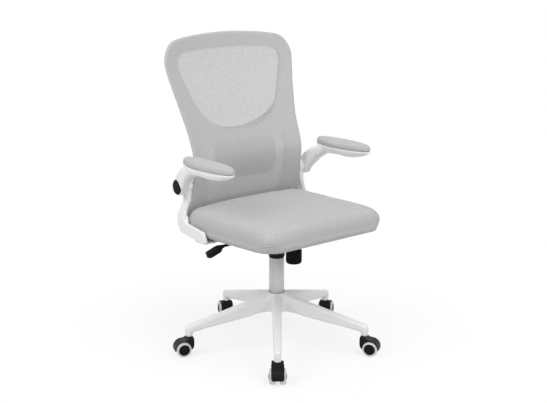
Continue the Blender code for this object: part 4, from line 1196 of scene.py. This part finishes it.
pad_mesh = filled(skinned(pad_rings(), False, "lumbar"), slice(pad_count), slice(-pad_count, None))
blank = linked("lumbar_work", pad_mesh, lumbar_shaded_moulding)
guide_front = back_y(0.0, 0.615) + 0.012
guide_block = block(0.022, 0.600, 0.630, guide_front, rail_face - 0.0003, 0.003)
guide = linked("guide_work", guide_block, lumbar_shaded_moulding)
boolean(blank, guide, "UNION")
lumbar = linked("lumbar_plate", plain(blank), lumbar_shaded_moulding)
bpy.data.objects.remove(guide)
lumbar.data.set_sharp_from_angle(angle=math.radians(40.0))
settle(lumbar, "lumbar", "pale_plastic", "lumbar_pad")

# %% [markdown]
# ## Arms
# Each arm is one swooping moulding from the pivot to the pad's shell, closed at the pivot with a black
# cap. The softened solid rounds it, and its shell is drawn up to a thin edge at the front, like the bow
# of a boat. The pad on top is foam under a smooth cover, so it swells as the seat did.

# %% Arms, pads and caps
cap_corners = (
    (0.0, 0.0031, 0.0), (0.0150, 0.0030, 0.0060), (0.0228, 0.0026, 0.0014), (0.0244, 0.0014, 0.0010),
    (0.0244, 0.0, 0.0), (0.0, 0.0, 0.0),
)
tip_reach = (0.0, 0.015, 0.035, 0.060, 0.095, 0.130)
tip_depth = (0.30, 0.62, 0.95, 1.16, 1.18, 1.0)


def tipped(mesh, tip, seam):
    """Draws a shell's underside up to its seam towards the tip, and fuller behind it."""
    spots = points(mesh)
    depth = np.interp(spots[:, 1] - tip, tip_reach, tip_depth)
    spots[:, 2] = np.where(spots[:, 2] < seam, seam + (spots[:, 2] - seam) * depth, spots[:, 2])
    return shifted(mesh, spots)


arms = []
for side, sign in (("left", 1.0), ("right", -1.0)):
    body = f"{side}_arm"
    low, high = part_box(f"arm_pad_{side}")
    elbow = np.array(((low.x + high.x) / 2.0, high.y - 0.085, low.z - 0.030))
    flowed = blended(softened(f"arm_{side}", 0.0016, 6), elbow, 0.030, 0.062, 160)
    flowed = tipped(flowed, low.y, low.z)
    arm = linked(f"arm_{side}_moulding", flowed, white_moulding)
    settle(arm, body, "white_plastic", f"arm_{side}")
    arms.append(arm)
    seam = low.z + 0.0045
    pad_skin = swollen(f"arm_pad_{side}", 0.0032, 0.0008, 0.0022, lambda spots: spots[:, 2] < seam)
    rest = linked(f"arm_pad_{side}_cover", pad_skin, seat_knit)
    level = points(pad_skin)
    centre = (low + high) / 2.0
    level -= np.array((centre.x, 0.0, 0.0))
    write_flat(pad_skin, unfolded(level, 0.0385, low.y, high.y, 0.030, high.z - 0.008))
    settle(rest, body, "seat_fabric", f"arm_pad_{side}")
    face = middle(f"arm_cap_{side}")
    face.x = min(abs(corner.x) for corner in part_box(f"arm_cap_{side}")) * sign
    cap = linked(f"arm_cap_{side}_disc", aimed(spun(cap_corners), face, (sign, 0.0, 0.0)), black_moulding)
    settle(cap, body, "black_plastic", f"arm_cap_{side}")

# %% [markdown]
# ## Tension knob
# The knob under the seat's front sets how hard the seat is to tilt, and it is ribbed so that fingers
# don't slip. The body is spun. The ribs repeat, so Geometry Nodes stand a rod on every point of a circle:
# change one number and the whole knob is cut again.

# %% Geometry Nodes helper
def node_tree(name, inputs):
    """An empty geometry tree with named inputs, and its inputs as tones."""
    tree = bpy.data.node_groups.new(name, "GeometryNodeTree")
    for label, kind in inputs.items():
        tree.interface.new_socket(label, in_out="INPUT", socket_type="NodeSocket" + kind)
    tree.interface.new_socket("Geometry", in_out="OUTPUT", socket_type="NodeSocketGeometry")
    start = Tone(tree)
    return start, {label: start.add("NodeGroupInput", out=label) for label in inputs}


def closing(start, instances, finish):
    """Real meshes with a finish, as the tree's result."""
    real = start.add("GeometryNodeRealizeInstances", None, {"Geometry": instances})
    done = start.add("GeometryNodeSetMaterial", None, {"Geometry": real, "Material": finish})
    start.add("NodeGroupOutput", None, {"Geometry": done})


def grown(name, mesh, tree, values):
    """Mesh that a tree makes from another mesh, its inputs set by their identifiers."""
    work = bpy.data.objects.new(name + "_work", mesh)
    scene.collection.objects.link(work)
    grow = work.modifiers.new("grow", "NODES")
    grow.node_group = tree
    for socket in tree.interface.items_tree:
        if socket.name in values:
            grow[socket.identifier] = values[socket.name]
    return plain(work)


def point_mesh(name, spots, **layers):
    """A mesh of bare vertices that carry vectors."""
    mesh = bpy.data.meshes.new(name)
    mesh.from_pydata([tuple(spot) for spot in spots], [], [])
    for label, rows in layers.items():
        layer = mesh.attributes.new(label, "FLOAT_VECTOR", "POINT")
        layer.data.foreach_set("vector", np.array([tuple(row) for row in rows], dtype=np.float32).ravel())
    return mesh


def ring_mesh(name, spots):
    """A closed path of edges."""
    mesh = bpy.data.meshes.new(name)
    count = len(spots)
    mesh.from_pydata([tuple(spot) for spot in spots], [(k, (k + 1) % count) for k in range(count)], [])
    return mesh


def vectors(start, label):
    return start.add("GeometryNodeInputNamedAttribute", {"data_type": "FLOAT_VECTOR"}, {"Name": label})


def fixed(name, mesh, body, slot):
    """A finished mesh from a tree, as a piece on a body."""
    piece = bpy.data.objects.new(name, mesh)
    scene.collection.objects.link(piece)
    return settle(piece, body, slot)


print("geometry helpers:", node_tree.__name__, closing.__name__, grown.__name__)

# %% Knob and its ribs
knob_low, knob_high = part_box("tension_knob")
knob_height = knob_high.z - knob_low.z
knob_corners = (
    (0.0, 0.0, 0.0), (0.0190, 0.0, 0.0008), (0.0200, 0.0010, 0.0008), (0.0226, 0.0010, 0.0020),
    (0.0246, 0.0034, 0.0020), (0.0248, knob_height - 0.006, 0.0020), (0.0220, knob_height, 0.0012),
    (0.0, knob_height, 0.0),
)
knob_foot = middle("tension_knob")
knob_foot.z = knob_low.z
knob = linked("tension_knob_grip", aimed(spun(knob_corners), knob_foot, (0, 0, 1)), black_moulding)
settle(knob, "knob", "black_plastic", "tension_knob")

start, given = node_tree("grip_ribs", {
    "Geometry": "Geometry", "Ribs": "Int", "Circle": "Float", "Thickness": "Float", "Length": "Float",
    "Finish": "Material",
})
circle = start.add("GeometryNodeMeshCircle", None, {"Vertices": given["Ribs"], "Radius": given["Circle"]})
grip = start.add("GeometryNodeMeshCylinder", None, {
    "Vertices": 10, "Radius": given["Thickness"], "Depth": given["Length"],
}, out="Mesh")
ribs = start.add("GeometryNodeInstanceOnPoints", None, {"Points": circle, "Instance": grip})
closing(start, ribs, given["Finish"])
rib_mesh = grown("knob_ribs", bpy.data.meshes.new("ribs"), start.tree, {
    "Ribs": 30, "Circle": 0.0246, "Thickness": 0.0012, "Length": knob_height - 0.012,
    "Finish": black_moulding,
})
rib_mesh.shade_smooth()
rib_mesh.set_sharp_from_angle(angle=math.radians(45.0))
rib_mesh.transform(Matrix.Translation(knob_foot + Vector((0.0, 0.0, knob_height / 2.0))))
fixed("tension_knob_ribs", rib_mesh, "knob", "black_plastic")

# %% [markdown]
# ## Bolts
# Hexagon-socket bolts hold the seat plate and the brackets' feet to the pan, and the arm shells to their
# pads. A bolt is a low cylinder with a chamfer and a round socket. One is modelled, and a tree sets it
# on every bare vertex of a small mesh, turned along that vertex's own normal attribute.

# %% Bolts
bolt_corners = (
    (0.0, -0.0004, 0.0), (0.0019, -0.0004, 0.0), (0.0021, -0.0012, 0.0), (0.0021, -0.0034, 0.0),
    (0.0024, -0.0036, 0.0), (0.0046, -0.0036, 0.0008), (0.0052, -0.0030, 0.0008), (0.0052, 0.0, 0.0),
    (0.0, 0.0, 0.0),
)
bolt = linked("bolt_work", spun(bolt_corners, 18, rounding=2), black_coat)

start, given = node_tree("bolt_rows", {
    "Geometry": "Geometry", "Bolt": "Object", "Size": "Float", "Finish": "Material",
})
head = start.add("GeometryNodeObjectInfo", None, {"Object": given["Bolt"]}, out="Geometry")
turn = start.add("FunctionNodeAlignRotationToVector", {"axis": "Z"}, {"Vector": vectors(start, "facing")})
rows = start.add("GeometryNodeInstanceOnPoints", None, {
    "Points": given["Geometry"], "Instance": head, "Rotation": turn, "Scale": given["Size"],
})
closing(start, rows, given["Finish"])
bolt_rows = start.tree


def bolted(name, body, slot, spots, facings, size, finish):
    mesh = point_mesh(name, spots, facing=facings)
    result = grown(name, mesh, bolt_rows, {"Bolt": bolt, "Size": size, "Finish": finish})
    return fixed(name, result, body, slot)


seat_up = seat_turn.to_3x3() @ Vector((0.0, 0.0, 1.0))
plate_under, foot_under = 0.0333, 0.0313
bolt_spots = [(x, y, plate_under) for x in (-0.072, 0.072) for y in (-0.052, 0.118)]
bolt_spots += [(x, y, foot_under) for x in (-0.212, -0.172, 0.172, 0.212) for y in (0.096, 0.124)]
bolt_spots = [seat_turn @ Vector(spot) for spot in bolt_spots]
bolted("seat_bolts", "seat", "black_metal", bolt_spots, [seat_up] * len(bolt_spots), 1.0, black_coat)
for arm, side in zip(arms, ("left", "right")):
    skin = points(arm.data)
    pad_middle = middle(f"arm_pad_{side}")
    screw_spots = []
    for ahead in (-0.052, -0.012):
        near = np.hypot(skin[:, 0] - pad_middle.x, skin[:, 1] - pad_middle.y - ahead) < 0.004
        screw_spots.append((pad_middle.x, pad_middle.y + ahead, float(skin[near][:, 2].min()) + 0.0004))
    up = Vector((0.0, 0.0, 1.0))
    bolted(f"arm_screws_{side}", f"{side}_arm", "steel", screw_spots, [up, up], 0.62, bright_steel)
bpy.data.objects.remove(bolt)
print("bolts:", len(bolt_spots), "under the seat")

# %% [markdown]
# ## Edge bead
# The net is pulled round the frame and locked into a groove at its rear by a plastic bead. The bead
# follows the outline, so its path is a ring of edges. A tree turns that ring into a curve and sweeps a
# small circle along it.

# %% Bead
start, given = node_tree("edge_bead", {"Geometry": "Geometry", "Radius": "Float", "Finish": "Material"})
path = start.add("GeometryNodeMeshToCurve", None, {"Mesh": given["Geometry"]})
wire = start.add("GeometryNodeCurvePrimitiveCircle", None, {"Resolution": 8, "Radius": given["Radius"]})
swept = start.add("GeometryNodeCurveToMesh", None, {"Curve": path, "Profile Curve": wire})
closing(start, swept, given["Finish"])
x, z = (outline + rim_in * 0.0140).T
bead_spots = np.column_stack((x, back_y(x, z) + net_gap + pad_hollow(x, z) + 2.0 * lip, z))
bead_path = ring_mesh("bead_path", bead_spots)
bead = grown("back_bead", bead_path, start.tree, {"Radius": 0.0016, "Finish": pale_shaded_moulding})
bead.shade_smooth()
fixed("back_edge_bead", bead, "seat", "pale_plastic")

# %% [markdown]
# ## Ribs under the legs
# In each pocket under the base, thin cross ribs tie the two walls of the leg together. They all have the
# same form but not the same size, so every point carries its own measure and turn, and the tree stretches
# one plate to fit.

# %% Leg ribs
start, given = node_tree("leg_ribs", {"Geometry": "Geometry", "Finish": "Material"})
turn = start.add("FunctionNodeAlignRotationToVector", {"axis": "X"}, {"Vector": vectors(start, "facing")})
plate = start.add("GeometryNodeMeshCube", None, {"Size": (1.0, 1.0, 1.0)}, out="Mesh")
stood = start.add("GeometryNodeInstanceOnPoints", None, {
    "Points": given["Geometry"], "Instance": plate, "Rotation": turn, "Scale": vectors(start, "measure"),
})
closing(start, stood, given["Finish"])
rib_spots, rib_sizes, rib_ways = [], [], []
for leg in swivels:
    for reach in np.linspace(pocket_from + 0.024, pocket_to - 0.024, 5):
        half, top = pocket_at(reach)
        under = 0.120 - 0.045 * (reach - 0.025) / 0.275 + 0.004
        rib_spots.append(out_along(leg, reach, 0.0, (top + under) / 2.0 + 0.001))
        rib_sizes.append((0.0022, 2.0 * half + 0.003, top - under + 0.002))
        rib_ways.append((leg - column_foot) * Vector((1.0, 1.0, 0.0)))
rib_points = point_mesh("rib_points", rib_spots, measure=rib_sizes, facing=rib_ways)
leg_ribs = grown("leg_ribs", rib_points, start.tree, {"Finish": white_moulding})
fixed("leg_ribs", leg_ribs, "base", "white_plastic")

# %% [markdown]
# ## Staples
# The cover is pulled under the cushion and stapled round the edge of the pan. The row follows the pan's
# outline, so the tree walks a curve at even steps and lays a short wire along it at every step.

# %% Staples
start, given = node_tree("staple_row", {
    "Geometry": "Geometry", "Staples": "Int", "Length": "Float", "Wire": "Float", "Finish": "Material",
})
path = start.add("GeometryNodeMeshToCurve", None, {"Mesh": given["Geometry"]})
steps = start.add("GeometryNodeCurveToPoints", {"mode": "COUNT"}, {"Curve": path, "Count": given["Staples"]})
along = Tone(start.tree, steps.socket.node.outputs["Rotation"])
wire = start.add("GeometryNodeMeshCylinder", None, {
    "Vertices": 6, "Radius": given["Wire"], "Depth": given["Length"],
}, out="Mesh")
laid = start.add("GeometryNodeInstanceOnPoints", None, {"Points": steps, "Instance": wire, "Rotation": along})
closing(start, laid, given["Finish"])
pan_under = cushion_low - 0.0053
row_corners = ((0.181, -0.165), (0.181, 0.147), (-0.181, 0.147), (-0.181, -0.165))
row = evenly(np.array([tuple(spot) for spot in eased([(x, y, 0.030) for x, y in row_corners], 8, True)]), 120)
row_path = ring_mesh("staple_path", [seat_turn @ Vector((x, y, pan_under)) for x, y in row])
staples = grown("staples", row_path, start.tree, {
    "Staples": 56, "Length": 0.010, "Wire": 0.0006, "Finish": bright_steel,
})
fixed("pan_staples", staples, "seat", "steel")
